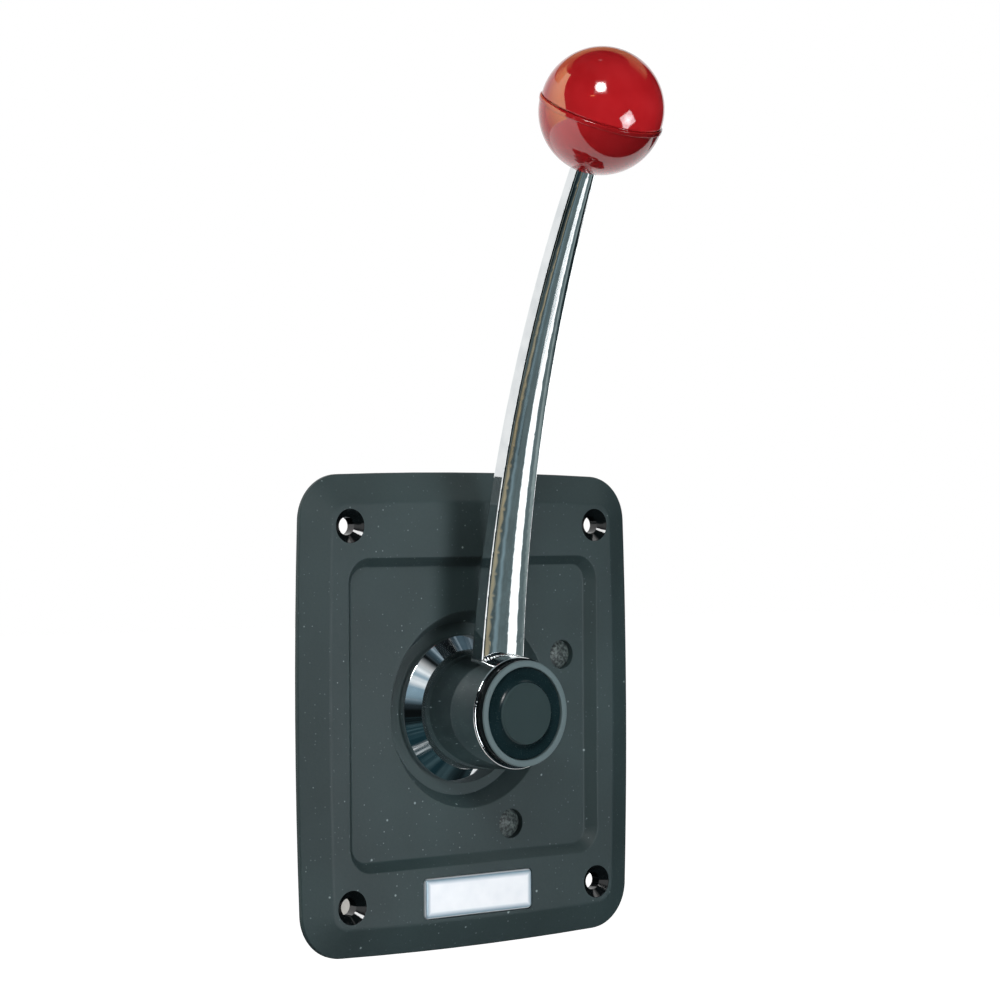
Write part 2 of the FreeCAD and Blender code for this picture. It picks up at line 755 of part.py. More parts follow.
def make_drive_pinion():
    """Gear on the shaft; the clutch pin drives it through the cross slot in its rear face."""
    centres = [90 + 360 * k / pinion_teeth for k in range(pinion_teeth)]
    gear = gear_face(pinion_teeth, centres, pinion_y, 0.0, 0.0, []).extrude(Vec(0, pinion_width, 0))
    back_y = pinion_y + pinion_width
    slot_half = clutch_pin_r + slide_gap
    slot_end = clutch_pin_half + clutch_slot_end
    slot = block(-slot_end, slot_end, back_y - clutch_slot_depth, back_y + overcut, -slot_half, slot_half)
    return gear.cut([slot, cylinder_y(shaft_r, pinion_y - overcut, back_y + overcut)])


def make_detent_disc():
    """Disc with a notch for each of forward, neutral and reverse; the friction pad bears on its rim."""
    back_y = disc_y + disc_width
    disc = cylinder_y(disc_r, disc_y, back_y)
    reach = disc_r + ball_clearance + ball_r
    notches = []
    for angle in disc_notch_angles:
        turn = math.radians(angle - detent_turn)
        notches.append(cylinder_y(disc_notch_r, disc_y - overcut, back_y + overcut,
                                  reach * math.cos(turn), reach * math.sin(turn)))
    hub = cylinder_y(disc_hub_r, disc_y, cover_front_y - free_gap)
    bore = cylinder_y(shaft_r, disc_y - overcut, cover_front_y)
    return disc.cut(notches).fuse(hub).cut(bore).removeSplitter()


def arm_blank(length, y, x, z, turn, hub_r, eye_r):
    """Flat arm with a round hub at (x, z) and a round eye at its tip."""
    dx = math.cos(math.radians(turn))
    dz = math.sin(math.radians(turn))
    lean = math.acos((hub_r - eye_r) / length)
    base = math.radians(turn)
    corners = []
    for radius, cx, cz, sign in ((hub_r, x, z, 1), (eye_r, x + length * dx, z + length * dz, 1),
                                 (eye_r, x + length * dx, z + length * dz, -1), (hub_r, x, z, -1)):
        angle = base + sign * lean
        corners.append(Vec(cx + radius * math.cos(angle), y, cz + radius * math.sin(angle)))
    web = Part.Face(Part.makePolygon(corners + corners[:1])).extrude(Vec(0, arm_thick, 0))
    eye = cylinder_y(eye_r, y, y + arm_thick, x + length * dx, z + length * dz)
    return web.fuse([cylinder_y(hub_r, y, y + arm_thick, x, z), eye]).removeSplitter()


def keyed_arm(length, y, z, turn, tail_r, tail_flat):
    """Arm keyed on its shaft's flatted tail, with an eye for the cable swivel's journal."""
    tip_x = length * math.cos(math.radians(turn))
    tip_z = z + length * math.sin(math.radians(turn))
    blank = arm_blank(length, y, 0.0, z, turn, arm_hub_r, arm_eye_r)
    key = flatted_tail(tail_r, tail_flat, y - overcut, y + arm_thick + overcut, 0.0, z)
    eye = cylinder_y(swivel_journal_r + fit_gap, y - overcut, y + arm_thick + overcut, tip_x, tip_z)
    return blank.cut([key, eye])


def make_throttle_crank():
    return keyed_arm(crank_length, crank_y, 0.0, -90.0, shaft_tail_r, shaft_tail_flat)


def make_shift_arm():
    return keyed_arm(shift_arm_length, shift_arm_y, shift_z, 0.0, shift_tail_r, shift_tail_flat)


def tail_washer(y, z, tail_r):
    return tube_y(washer_r, tail_r, y, y + washer_thick, 0.0, z)


def tail_nut(y, z, tail_r):
    nut = hexagon(nut_across, y, y + nut_thick, 0.0, z)
    return nut.cut(cylinder_y(tail_r, y - overcut, y + nut_thick + overcut, 0.0, z))


def make_swivel(tip, arm_y):
    """Trunnion whose journal turns in the arm's eye; the cable's threaded rod goes through it along Z."""
    x, z = tip
    y0 = arm_y + arm_thick + free_gap
    y1 = y0 + swivel_length
    barrel = cylinder_y(swivel_r, y0, y1, x, z)
    barrel = barrel.common(block(x - swivel_r, x + swivel_r, y0, y1, z - swivel_flat, z + swivel_flat))
    journal_front_y = arm_y - free_gap - clip_thick - clip_journal_tail
    journal = cylinder_y(swivel_journal_r, journal_front_y, y0 + overcut, x, z)
    rod = Part.makeCylinder(swivel_rod_r, 4 * swivel_r, Vec(x, (y0 + y1) / 2, z - 2 * swivel_r), Vec(0, 0, 1))
    return barrel.fuse(journal).removeSplitter().cut(rod)


def swivel_clip(tip, arm_y):
    """Spring clip on the journal in front of the arm."""
    back = arm_y - free_gap
    return tube_y(clip_r, swivel_journal_r, back - clip_thick, back, *tip)


# Shift gear
def make_shift_gear():
    """Toothed sector on the shift shaft, driven by the pinion below it."""
    step = 360 / sector_teeth_full
    first = 270 - step * (sector_teeth_cut - 1) / 2
    centres = [first + step * k for k in range(sector_teeth_cut)]
    top_z = shift_z + sector_hub_overlap
    inner_x = sector_hub_r - sector_hub_overlap / 2
    face = gear_face(sector_teeth_full, centres, sector_y, 0.0, shift_z,
                     [Vec(inner_x, sector_y, top_z), Vec(-inner_x, sector_y, top_z)])
    sector = face.extrude(Vec(0, sector_width, 0))
    back_y = sector_y + sector_width
    window_reach = (sector_hub_r + gear_module * sector_teeth_full / 2) / 2
    windows = []
    for side in (-1, 1):
        turn = math.radians(270 + side * sector_window_angle)
        windows.append(cylinder_y(sector_window_r, sector_y - overcut, back_y + overcut,
                                  window_reach * math.cos(turn), shift_z + window_reach * math.sin(turn)))
    hub = cylinder_y(sector_hub_r, sector_y, sector_hub_end_y, 0.0, shift_z)
    bore = cylinder_y(shift_shaft_r, sector_y - overcut, sector_hub_end_y + overcut, 0.0, shift_z)
    return sector.cut(windows).fuse(hub).cut(bore).removeSplitter()


def make_shift_shaft():
    shaft = cylinder_y(shift_shaft_r, shift_shaft_front_y + free_gap, shift_arm_y, 0.0, shift_z)
    tail = flatted_tail(shift_tail_r, shift_tail_flat, shift_arm_y - overcut, shift_end_y, 0.0, shift_z)
    return shaft.fuse(tail).removeSplitter()


# Housing, cover, bushes and fasteners
def housing_block(y0, y1, inset):
    half_z = (housing_top_z - housing_bottom_z) / 2
    middle_z = (housing_top_z + housing_bottom_z) / 2
    return rounded_block(housing_half_x - inset, half_z - inset, housing_corner_r - inset, y0, y1, z=middle_z)


def guide_boss(turn):
    """Square boss from the housing wall towards the detent disc, with its outer pad."""
    reach = disc_r + guide_mouth_gap
    wall = housing_half_x if turn == friction_turn else -housing_bottom_z
    boss = block(reach, wall - overcut, disc_mid_y - guide_half, cover_front_y, -guide_half, guide_half)
    boss.rotate(Vec(0, 0, 0), Vec(0, 1, 0), turn)
    return boss


def radial(radius, start, end, turn):
    """Cylinder that points away from the shaft in the middle plane of the detent disc."""
    pin = Part.makeCylinder(radius, end - start, Vec(start, disc_mid_y, 0), Vec(1, 0, 0))
    pin.rotate(Vec(0, 0, 0), Vec(0, 1, 0), turn)
    return pin


def make_mech_housing():
    """Cast box with four screw columns, a bush seat for each shaft, and the two guide bosses."""
    shell = housing_block(housing_front_y, cover_front_y, 0.0)
    hollow = housing_block(cavity_front_y, cover_front_y + overcut, housing_wall)
    columns = [cylinder_y(column_r, cavity_front_y - overcut, cover_front_y + overcut, x, z)
               for x, z in column_places]
    shell = shell.cut(hollow.cut(columns))
    shift_bush_r = shift_shaft_r + bush_wall
    shift_seat = cylinder_y(shift_bush_r + bush_boss_wall, cavity_front_y - overcut, sector_y - free_gap,
                            0.0, shift_z)
    shell = shell.fuse([guide_boss(detent_turn), guide_boss(friction_turn), shift_seat])
    rim = disc_r + ball_clearance
    holes = [
        cylinder_y(shaft_r + bush_wall, housing_front_y - overcut, pinion_y),
        cylinder_y(shift_bush_r, shift_shaft_front_y, sector_y, 0.0, shift_z),
        radial(ball_r + slide_gap, disc_r, plug_start + overcut, detent_turn),
        radial(plug_r, plug_start, -housing_bottom_z + overcut, detent_turn),
        radial(pad_r + slide_gap, disc_r, rim + pad_length, friction_turn),
        radial(friction_screw_r, rim, housing_half_x + overcut, friction_turn),
    ]
    holes += [cylinder_y(screw_r + slide_gap, housing_front_y - overcut, cover_front_y + overcut, x, z)
              for x, z in column_places]
    return shell.cut(holes).removeSplitter()


def make_rear_cover():
    """Flat cover with the two long bearing bosses, tied together by a pair of gussets."""
    cover = housing_block(cover_front_y, cover_back_y, 0.0)
    main_boss = cylinder_y(main_boss_r, cover_back_y - overcut, main_boss_end_y)
    shift_boss = cylinder_y(shift_boss_r, cover_back_y - overcut, shift_boss_end_y, 0.0, shift_z)
    gussets = [block(side * gusset_x - gusset_thick / 2, side * gusset_x + gusset_thick / 2,
                     cover_back_y - overcut, cover_back_y + gusset_rise,
                     main_boss_r - gusset_bury, shift_z - shift_boss_r + gusset_bury) for side in (-1, 1)]
    cover = cover.fuse([main_boss, shift_boss] + gussets)
    holes = [cylinder_y(shaft_r + bush_wall, cover_front_y - overcut, main_boss_end_y + overcut),
             cylinder_y(shift_shaft_r + bush_wall, cover_front_y - overcut, shift_boss_end_y + overcut,
                        0.0, shift_z)]
    holes += [cylinder_y(screw_r + slide_gap, cover_front_y - overcut, cover_back_y + overcut, x, z)
              for x, z in column_places]
    return cover.cut(holes).removeSplitter()


def make_main_bushes():
    front = tube_y(shaft_r + bush_wall, shaft_r + fit_gap, housing_front_y, pinion_y - free_gap)
    rear = tube_y(shaft_r + bush_wall, shaft_r + fit_gap, cover_front_y, main_boss_end_y)
    return Part.makeCompound([front, rear])


def make_shift_bushes():
    outer = shift_shaft_r + bush_wall
    inner = shift_shaft_r + fit_gap
    front = tube_y(outer, inner, shift_shaft_front_y, sector_y - free_gap, 0.0, shift_z)
    rear = tube_y(outer, inner, cover_front_y - shift_bush_inset, shift_boss_end_y, 0.0, shift_z)
    return Part.makeCompound([front, rear])


def make_shaft_seal():
    return tube_y(seal_r, shaft_r + fit_gap, well_back_y - seal_thick, well_back_y)


def cap_screw(x, z, seat_y):
    """Pan-head screw with a six-sided socket, its head behind the seat."""
    top_y = seat_y + screw_head
    head = cylinder_y(screw_head_r, seat_y, top_y, x, z)
    head = fillet_where(head, screw_head_edge_r, lambda e: abs(e.BoundBox.YMin - top_y) < 1e-3)
    socket = hexagon(screw_socket_across, top_y - socket_depth, top_y + overcut, x, z)
    return cylinder_y(screw_r, screw_tip_y, seat_y, x, z).fuse(head).cut(socket)


def make_housing_screws():
    """The lower two go through the cable bracket as well."""
    screws = [cap_screw(x, z, bracket_back_y if z < 0 else cover_back_y) for x, z in column_places]
    return Part.makeCompound(screws)


# Detent and friction brake
def make_detent_ball():
    return Part.makeSphere(ball_r, Vec(0, disc_mid_y, -disc_r - ball_clearance - ball_r))


def make_detent_plug():
    """Slotted plug that holds the detent spring in its bore."""
    end = plug_start + plug_length
    slot = block(end - slot_depth, end + overcut, disc_mid_y - slot_width / 2, disc_mid_y + slot_width / 2,
                 -plug_r, plug_r)
    slot.rotate(Vec(0, 0, 0), Vec(0, 1, 0), detent_turn)
    return radial(plug_r, plug_start, end, detent_turn).cut(slot)


def make_detent_spring():
    top = disc_r + ball_clearance + 2 * ball_r
    coil = spring_y(detent_spring_coil_r, spring_wire_r, top, plug_start, detent_spring_turns)
    coil.rotate(Vec(0, 0, 0), Vec(1, 0, 0), -90)
    coil.translate(Vec(0, disc_mid_y, 0))
    return coil


def make_friction_pad():
    """Brake block whose end is hollowed to the disc's rim."""
    rim = disc_r + ball_clearance
    pad = radial(pad_r, disc_r - overcut, rim + pad_length, friction_turn)
    return pad.cut(cylinder_y(rim, disc_mid_y - 2 * pad_r, disc_mid_y + 2 * pad_r))


def make_friction_screw():
    """Slotted screw that presses the pad on the disc; its locknut sits outside the housing."""
    start = disc_r + ball_clearance + pad_length
    end = housing_half_x + locknut_thick + friction_screw_out
    slot = block(end - slot_depth, end + overcut, disc_mid_y - slot_width / 2, disc_mid_y + slot_width / 2,
                 -friction_screw_r, friction_screw_r)
    return radial(friction_screw_r, start, end, friction_turn).cut(slot)


def make_friction_locknut():
    nut = hexagon(locknut_across, 0.0, locknut_thick)
    nut.rotate(Vec(0, 0, 0), Vec(0, 0, 1), -90)
    nut.translate(Vec(housing_half_x, disc_mid_y, 0))
    hole = radial(friction_screw_r, housing_half_x - overcut, housing_half_x + locknut_thick + overcut,
                  friction_turn)
    return nut.cut(hole)


# Cable bracket and clamps
def make_cable_bracket():
    """Flat steel bracket under the two lower housing screws; it carries both cable clamps."""
    half_x = (bracket_right_x - bracket_left_x) / 2
    middle_x = (bracket_right_x + bracket_left_x) / 2
    half_z = (bracket_top_z - bracket_bottom_z) / 2
    middle_z = (bracket_top_z + bracket_bottom_z) / 2
    web = rounded_block(half_x, half_z, bracket_corner_r, cover_back_y, bracket_back_y,
                        x=middle_x, z=middle_z)
    y0 = cover_back_y - overcut
    y1 = bracket_back_y + overcut
    relief = rounded_block(bracket_foot_left_x - bracket_left_x, bracket_foot_top_z - bracket_bottom_z,
                           bracket_corner_r, y0, y1, x=bracket_left_x, z=bracket_bottom_z)
    holes = [cylinder_y(screw_r + slide_gap, y0, y1, x, z) for x, z in column_places if z < 0]
    holes += [cylinder_y(clamp_screw_r, y0, y1, x + side * clamp_screw_x, clamp_z)
              for x in (throttle_tip[0], shift_tip[0]) for side in (-1, 1)]
    return web.cut([relief] + holes)


def cable_clamp(x, rod_y):
    """Block on the bracket with a bore for the cable's conduit, slit at the back to grip it."""
    y0 = bracket_back_y
    y1 = rod_y + conduit_r + clamp_rear_wall
    z0 = clamp_z - clamp_length / 2
    half_y = (y1 - y0) / 2
    outline = rounded_rectangle(clamp_half_x, half_y, clamp_corner_r, 0.0)
    body = Part.Face(outline).extrude(Vec(0, clamp_length, 0))
    body.rotate(Vec(0, 0, 0), Vec(1, 0, 0), 90)
    body.translate(Vec(x, y0 + half_y, z0))
    foot = block(x - clamp_half_x, x + clamp_half_x, y0, y0 + clamp_foot, z0, z0 + clamp_length)
    bore = Part.makeCylinder(conduit_r, clamp_length + 2 * overcut, Vec(x, rod_y, z0 - overcut), Vec(0, 0, 1))
    slit = block(x - clamp_slit / 2, x + clamp_slit / 2, rod_y, y1 + overcut,
                 z0 - overcut, z0 + clamp_length + overcut)
    holes = [cylinder_y(clamp_screw_r, y0 - overcut, y1 + overcut, x + side * clamp_screw_x, clamp_z)
             for side in (-1, 1)]
    return body.fuse(foot).removeSplitter().cut([bore, slit] + holes)


def clamp_screw(x, seat_y):
    """Slotted cheese-head screw through the clamp into the bracket."""
    top_y = seat_y + clamp_screw_head
    shank = cylinder_y(clamp_screw_r, cover_back_y + clamp_screw_tip, seat_y, x, clamp_z)
    head = cylinder_y(clamp_screw_head_r, seat_y, top_y, x, clamp_z)
    slot = block(x - clamp_screw_head_r, x + clamp_screw_head_r, top_y - slot_depth, top_y + overcut,
                 clamp_z - slot_width / 2, clamp_z + slot_width / 2)
    return shank.fuse(head).cut(slot)


def make_clamp_screws():
    screws = []
    for x, rod_y in ((throttle_tip[0], throttle_rod_y), (shift_tip[0], shift_rod_y)):
        seat_y = rod_y + conduit_r + clamp_rear_wall
        screws += [clamp_screw(x + side * clamp_screw_x, seat_y) for side in (-1, 1)]
    return Part.makeCompound(screws)


# Every piece by its name
pieces = {
    "cover_plate": make_cover_plate,
    "name_plate": make_name_plate,
    "lever_hub": make_lever_hub,
    "hub_flange": make_hub_flange,
    "lever_arm": make_lever_arm,
    "knob_lower": make_knob_lower,
    "knob_upper": make_knob_upper,
    "knob_insert": make_knob_insert,
    "button_ring": make_button_ring,
    "neutral_button": make_neutral_button,
    "button_spring": make_button_spring,
    "push_rod": make_push_rod,
    "clutch_pin": make_clutch_pin,
    "hub_grub_screw": make_grub_screw,
    "main_shaft": make_main_shaft,
    "drive_pinion": make_drive_pinion,
    "detent_disc": make_detent_disc,
    "thrust_washer": lambda: tube_y(thrust_washer_r, shaft_r, main_boss_end_y + free_gap, crank_y),
    "throttle_crank": make_throttle_crank,
    "crank_washer": lambda: tail_washer(crank_washer_y, 0.0, shaft_tail_r),
    "crank_nut": lambda: tail_nut(crank_washer_y + washer_thick, 0.0, shaft_tail_r),
    "throttle_swivel": lambda: make_swivel(throttle_tip, crank_y),
    "throttle_swivel_clip": lambda: swivel_clip(throttle_tip, crank_y),
    "shift_gear": make_shift_gear,
    "shift_shaft": make_shift_shaft,
    "shift_arm": make_shift_arm,
    "shift_washer": lambda: tail_washer(shift_washer_y, shift_z, shift_tail_r),
    "shift_nut": lambda: tail_nut(shift_washer_y + washer_thick, shift_z, shift_tail_r),
    "shift_swivel": lambda: make_swivel(shift_tip, shift_arm_y),
    "shift_swivel_clip": lambda: swivel_clip(shift_tip, shift_arm_y),
    "mech_housing": make_mech_housing,
    "rear_cover": make_rear_cover,
    "main_bushes": make_main_bushes,
    "shift_bushes": make_shift_bushes,
    "shaft_seal": make_shaft_seal,
    "housing_screws": make_housing_screws,
    "detent_ball": make_detent_ball,
    "detent_spring": make_detent_spring,
    "detent_plug": make_detent_plug,
    "friction_pad": make_friction_pad,
    "friction_screw": make_friction_screw,
    "friction_locknut": make_friction_locknut,
    "cable_bracket": make_cable_bracket,
    "throttle_clamp": lambda: cable_clamp(throttle_tip[0], throttle_rod_y),
    "shift_clamp": lambda: cable_clamp(shift_tip[0], shift_rod_y),
    "clamp_screws": make_clamp_screws,
}

os.makedirs("parts", exist_ok=True)
for name, make in pieces.items():
    shape = make()
    if not shape.isValid():
        print("not valid:", name)
    if len(shape.Solids) == 1 and shape.ShapeType != "Solid":
        shape = shape.Solids[0]
    print(f"{name:22s} solids {len(shape.Solids)}  volume {shape.Volume:10.1f} mm3")
    shape.exportStep("parts/" + name + ".step")
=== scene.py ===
# %% [markdown]
# A boat throttle control: one lever with a red ball knob swings on a polished hub in the
# middle of a dark moulded cover plate, and the gear and cable mechanism hangs behind it.
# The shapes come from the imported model. This script lights it, gives each piece its finish,
# and makes the few pieces that read better as fine meshes than as machined solids.

# %% Load the frame
import bpy
import json
import math
from mathutils import Matrix, Vector

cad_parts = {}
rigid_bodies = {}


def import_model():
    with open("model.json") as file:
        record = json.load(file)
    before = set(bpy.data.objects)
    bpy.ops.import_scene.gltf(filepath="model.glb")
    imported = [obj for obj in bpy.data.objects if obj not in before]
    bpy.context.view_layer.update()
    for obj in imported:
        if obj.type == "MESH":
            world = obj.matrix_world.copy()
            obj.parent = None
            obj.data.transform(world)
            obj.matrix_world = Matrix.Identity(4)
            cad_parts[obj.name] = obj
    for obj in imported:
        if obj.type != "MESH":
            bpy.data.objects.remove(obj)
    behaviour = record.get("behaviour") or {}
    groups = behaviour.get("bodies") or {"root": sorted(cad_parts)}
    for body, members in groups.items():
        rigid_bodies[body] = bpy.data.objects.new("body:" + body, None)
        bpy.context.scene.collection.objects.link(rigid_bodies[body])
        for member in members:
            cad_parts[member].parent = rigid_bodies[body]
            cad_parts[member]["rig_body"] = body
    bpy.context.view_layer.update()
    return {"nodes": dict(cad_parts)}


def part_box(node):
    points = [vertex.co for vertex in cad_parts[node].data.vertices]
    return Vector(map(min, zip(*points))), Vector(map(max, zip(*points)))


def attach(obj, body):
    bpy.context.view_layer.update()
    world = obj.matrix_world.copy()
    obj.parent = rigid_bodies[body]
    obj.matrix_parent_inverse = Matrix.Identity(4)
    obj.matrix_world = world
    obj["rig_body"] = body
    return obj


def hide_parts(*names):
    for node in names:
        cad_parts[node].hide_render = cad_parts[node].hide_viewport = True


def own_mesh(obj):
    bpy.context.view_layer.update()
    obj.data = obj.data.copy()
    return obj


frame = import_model()
nodes = frame["nodes"]
MM = 0.001

# %% [markdown]
# Every material and every Geometry Nodes tree below is wired by the same small helper. It
# adds one node, applies its settings, and fills its inputs with values or with the outputs
# of other nodes. A second helper turns a hex colour, as a painter would read it off a
# screen, into the linear values that Blender works in.

# %% One helper for nodes and one for colours


def node(tree, kind, inputs=None, **settings):
    """Adds a node. Inputs are given by name or number, as a value or as another node's output."""
    made = tree.nodes.new(kind)
    for name, value in settings.items():
        setattr(made, name, value)
    for name, value in (inputs or {}).items():
        socket = made.inputs[name]
        if isinstance(value, bpy.types.NodeSocket):
            tree.links.new(value, socket)
        else:
            socket.default_value = value
    return made


def rgb(hex_colour):
    """sRGB hex to linear red, green, blue and alpha."""
    channels = [int(hex_colour[i:i + 2], 16) / 255 for i in (1, 3, 5)]
    linear = [c / 12.92 if c <= 0.04045 else ((c + 0.055) / 1.055) ** 2.4 for c in channels]
    return (*linear, 1.0)


print("mid grey in linear light:", round(rgb("#808080")[0], 3))

# %% [markdown]
# The camera stands left of the plate and looks a little past the hub, level with it. Its
# place, lens and shift were worked out from the four screw holes, the plate's edges and the
# ball, so that the model falls on the same pixels as the real control.

# %% Camera
CAMERA_PLACE = Vector((-0.5398, -0.71463, 0.05928))
CAMERA_RIGHT = Vector((0.7939, -0.60802, -0.00602))
CAMERA_UP = Vector((0.00459, -0.00392, 0.99998))
CAMERA_FORWARD = Vector((0.60803, 0.79391, 0.00032))
LENS_MM, SENSOR_MM = 95.38, 36.0
SHIFT = (0.0165, 0.0326)

camera_data = bpy.data.cameras.new("camera")
camera_data.lens = LENS_MM
camera_data.sensor_width = SENSOR_MM
camera_data.shift_x, camera_data.shift_y = SHIFT
camera = bpy.data.objects.new("camera", camera_data)
turn = Matrix((CAMERA_RIGHT, CAMERA_UP, -CAMERA_FORWARD)).transposed()
camera.matrix_world = Matrix.Translation(CAMERA_PLACE) @ turn.to_4x4()
bpy.context.scene.collection.objects.link(camera)
bpy.context.scene.camera = camera
bpy.context.scene.view_settings.view_transform = "Standard"
print("camera", [round(v, 3) for v in CAMERA_PLACE], "lens", LENS_MM)

# %% [markdown]
# The real control was photographed on white, with a dark room in front of it: the chrome
# shows black bands, a few pale strips and two lamps, and the ball shows the edge of the
# white background. Chrome has no colour of its own, so the room has to be built. The world
# is white for the camera and for reflections, and softer for diffuse light. Cards that only
# reflections can see stand in for the dark room and the pale strips.

# %% World and floor
WORLD_FILL = 0.06
FLOOR_Z, FLOOR_REACH = -0.35, 9.0
PAPER_FIBRE = 3 * MM
# The floor's own glow is weaker near the object, where it has to show the shadow.
SHADOW_NEAR, SHADOW_FAR, SHADOW_GLOW = 0.7, 1.3, 0.5


def plainly_seen(tree):
    """1 for rays from the camera, from gloss and through glass, 0 for rays that light things."""
    rays = node(tree, "ShaderNodeLightPath").outputs
    seen = node(tree, "ShaderNodeMath", {0: rays["Is Camera Ray"], 1: rays["Is Glossy Ray"]},
                operation="MAXIMUM").outputs[0]
    return node(tree, "ShaderNodeMath", {0: seen, 1: rays["Is Transmission Ray"]},
                operation="MAXIMUM").outputs[0]


world = bpy.data.worlds.new("white_studio")
bpy.context.scene.world = world
world.use_nodes = True
sky = world.node_tree
sky.nodes.clear()
seen = plainly_seen(sky)
fill = node(sky, "ShaderNodeBackground", {"Color": rgb("#F4F7FA"), "Strength": WORLD_FILL})
white = node(sky, "ShaderNodeBackground", {"Color": (1, 1, 1, 1), "Strength": 1.0})
mixed = node(sky, "ShaderNodeMixShader", {0: seen, 1: fill.outputs[0], 2: white.outputs[0]})
node(sky, "ShaderNodeOutputWorld", {"Surface": mixed.outputs[0]})

floor_mesh = bpy.data.meshes.new("floor")
corners = [(-1, -1), (1, -1), (1, 1), (-1, 1)]
floor_mesh.from_pydata([(x * FLOOR_REACH, y * FLOOR_REACH, FLOOR_Z) for x, y in corners],
                       [], [(0, 1, 2, 3)])
floor = bpy.data.objects.new("floor", floor_mesh)
bpy.context.scene.collection.objects.link(floor)
paper = bpy.data.materials.new("matte_white_backdrop_paper")
paper.use_nodes = True
tree = paper.node_tree
tree.nodes.clear()
place = node(tree, "ShaderNodeTexCoord").outputs["Object"]
fibre = node(tree, "ShaderNodeTexNoise", {"Vector": place, "Scale": 1 / PAPER_FIBRE, "Detail": 3.0})
tone = node(tree, "ShaderNodeMix", {0: fibre.outputs[0], 6: rgb("#F6F6F6"), 7: rgb("#FFFFFF")},
            data_type="RGBA")
sheet = node(tree, "ShaderNodeBsdfDiffuse", {"Color": tone.outputs[2]})
away = node(tree, "ShaderNodeVectorMath", {0: place}, operation="LENGTH").outputs["Value"]
level = node(tree, "ShaderNodeMapRange", {
    0: away, 1: SHADOW_NEAR, 2: SHADOW_FAR, 3: SHADOW_GLOW, 4: 1.0}).outputs[0]
lift = node(tree, "ShaderNodeMath", {0: plainly_seen(tree), 1: level}, operation="MULTIPLY")
glow = node(tree, "ShaderNodeEmission", {"Color": (1, 1, 1, 1), "Strength": lift.outputs[0]})
both = node(tree, "ShaderNodeAddShader", {0: sheet.outputs[0], 1: glow.outputs[0]})
node(tree, "ShaderNodeOutputMaterial", {"Surface": both.outputs[0]})
floor_mesh.materials.append(paper)
print("floor at", FLOOR_Z, "m")

# %% [markdown]
# Directions round the object are given as a photographer would: degrees to the right of the
# camera as the object sees it, and degrees above the level. Three lamps light the control: a
# round one high above the camera, which draws the round spark on the ball, a square softbox
# to the right and a little low, which throws the lever's soft shadow to the left, and a wide
# weak one on the left for the light that the white background sends back. A lamp or a card
# can be kept to some pieces, or kept off them, as a photographer does with black flags. The
# softbox is flagged off the lever, whose chrome keeps its dark bands that way, and off the
# button and the knob's lower half, which the real lamp doesn't reach either.

# %% Lamps
BALL = Vector((0.0, -0.0724, 0.1922))
TOWARD = Vector((-CAMERA_FORWARD.x, -CAMERA_FORWARD.y, 0)).normalized()
ACROSS = Vector((CAMERA_RIGHT.x, CAMERA_RIGHT.y, 0)).normalized()


def aim(azimuth, elevation):
    """Unit direction from the object: degrees right of the camera, then degrees above level."""
    a, e = math.radians(azimuth), math.radians(elevation)
    return (TOWARD * math.cos(a) + ACROSS * math.sin(a)) * math.cos(e) + Vector((0, 0, math.sin(e)))


def lamp(name, direction, distance, size, watts, shape="SQUARE", colour="#FFFFFF", roll=0):
    """An area lamp that faces the ball from a direction. The roll turns its outline in degrees."""
    data = bpy.data.lights.new(name, "AREA")
    data.shape = shape
    data.size = size
    data.energy = watts
    data.color = rgb(colour)[:3]
    made = bpy.data.objects.new(name, data)
    facing = direction.to_track_quat("Z", "Y").to_matrix().to_4x4()
    rolled = Matrix.Rotation(math.radians(roll), 4, "Z")
    made.matrix_world = Matrix.Translation(BALL + direction * distance) @ facing @ rolled
    made.visible_camera = False
    bpy.context.scene.collection.objects.link(made)
    return made


lamp("high_round_lamp", aim(-4.4, 31.5), distance=1.0, size=0.34, watts=5.5, shape="DISK")
softbox = lamp("square_softbox", aim(49.5, -23.0), distance=0.65, size=0.27, watts=2.35,
               colour="#F6FAFF", roll=45)
bounce = lamp("left_bounce", aim(-80.0, 8.0), distance=1.3, size=0.9, watts=6.5)
bounce.visible_glossy = False


def group(name, pieces, state="INCLUDE"):
    """The pieces that a lamp or card is kept to, or kept off when the state is EXCLUDE."""
    made = bpy.data.collections.new(name)
    for piece in pieces:
        made.objects.link(nodes[piece])
    for member in made.collection_objects:
        member.light_linking.link_state = state
    return made


OFF_SOFTBOX = ["lever_arm", "neutral_button", "knob_lower"]
softbox.light_linking.receiver_collection = group("flagged_off_the_softbox", OFF_SOFTBOX, "EXCLUDE")
lever_only = group("lever_only", ["lever_arm"])
lever_and_badge = group("lever_and_badge", ["lever_arm", "name_plate"])
flange_only = group("flange_only", ["hub_flange"])
plate_only = group("plate_only", ["cover_plate"])
knob_only = group("knob_only", ["knob_upper", "knob_lower"])
not_plate = group("not_the_plate", ["cover_plate"], "EXCLUDE")
hub_only = group("hub_only", ["lever_hub"])
plain_white = group("not_knob_or_flange", ["knob_upper", "knob_lower", "hub_flange"], "EXCLUDE")

# %% [markdown]
# A card is a sheet of points in rows. Some are pieces of a dome round the object, two lie
# flat, dark in front of the table's edge and white behind it, and the strips that the lever
# mirrors run out along the floor and then up. Each point carries its own glow, so a card can
# fade at its edges or change along its width.

# %% Cards that only reflections see


def dome_point(distance, lean=0.0, about=Vector((0, 0, 0))):
    """On a dome. A lean moves the azimuth with each degree of elevation."""
    return lambda azimuth, elevation: aim(azimuth + lean * elevation, elevation) * distance + about


def bent_point(distance, height, slant=5.0):
    """Out along the floor to the distance, then straight up. The slant turns it per metre."""
    return lambda azimuth, run: (aim(azimuth + slant * run, 0) * min(run, distance)
                                 + Vector((0, 0, height + max(run - distance, 0))))


def flat_point(height):
    return lambda x, y: Vector((x, y, height))


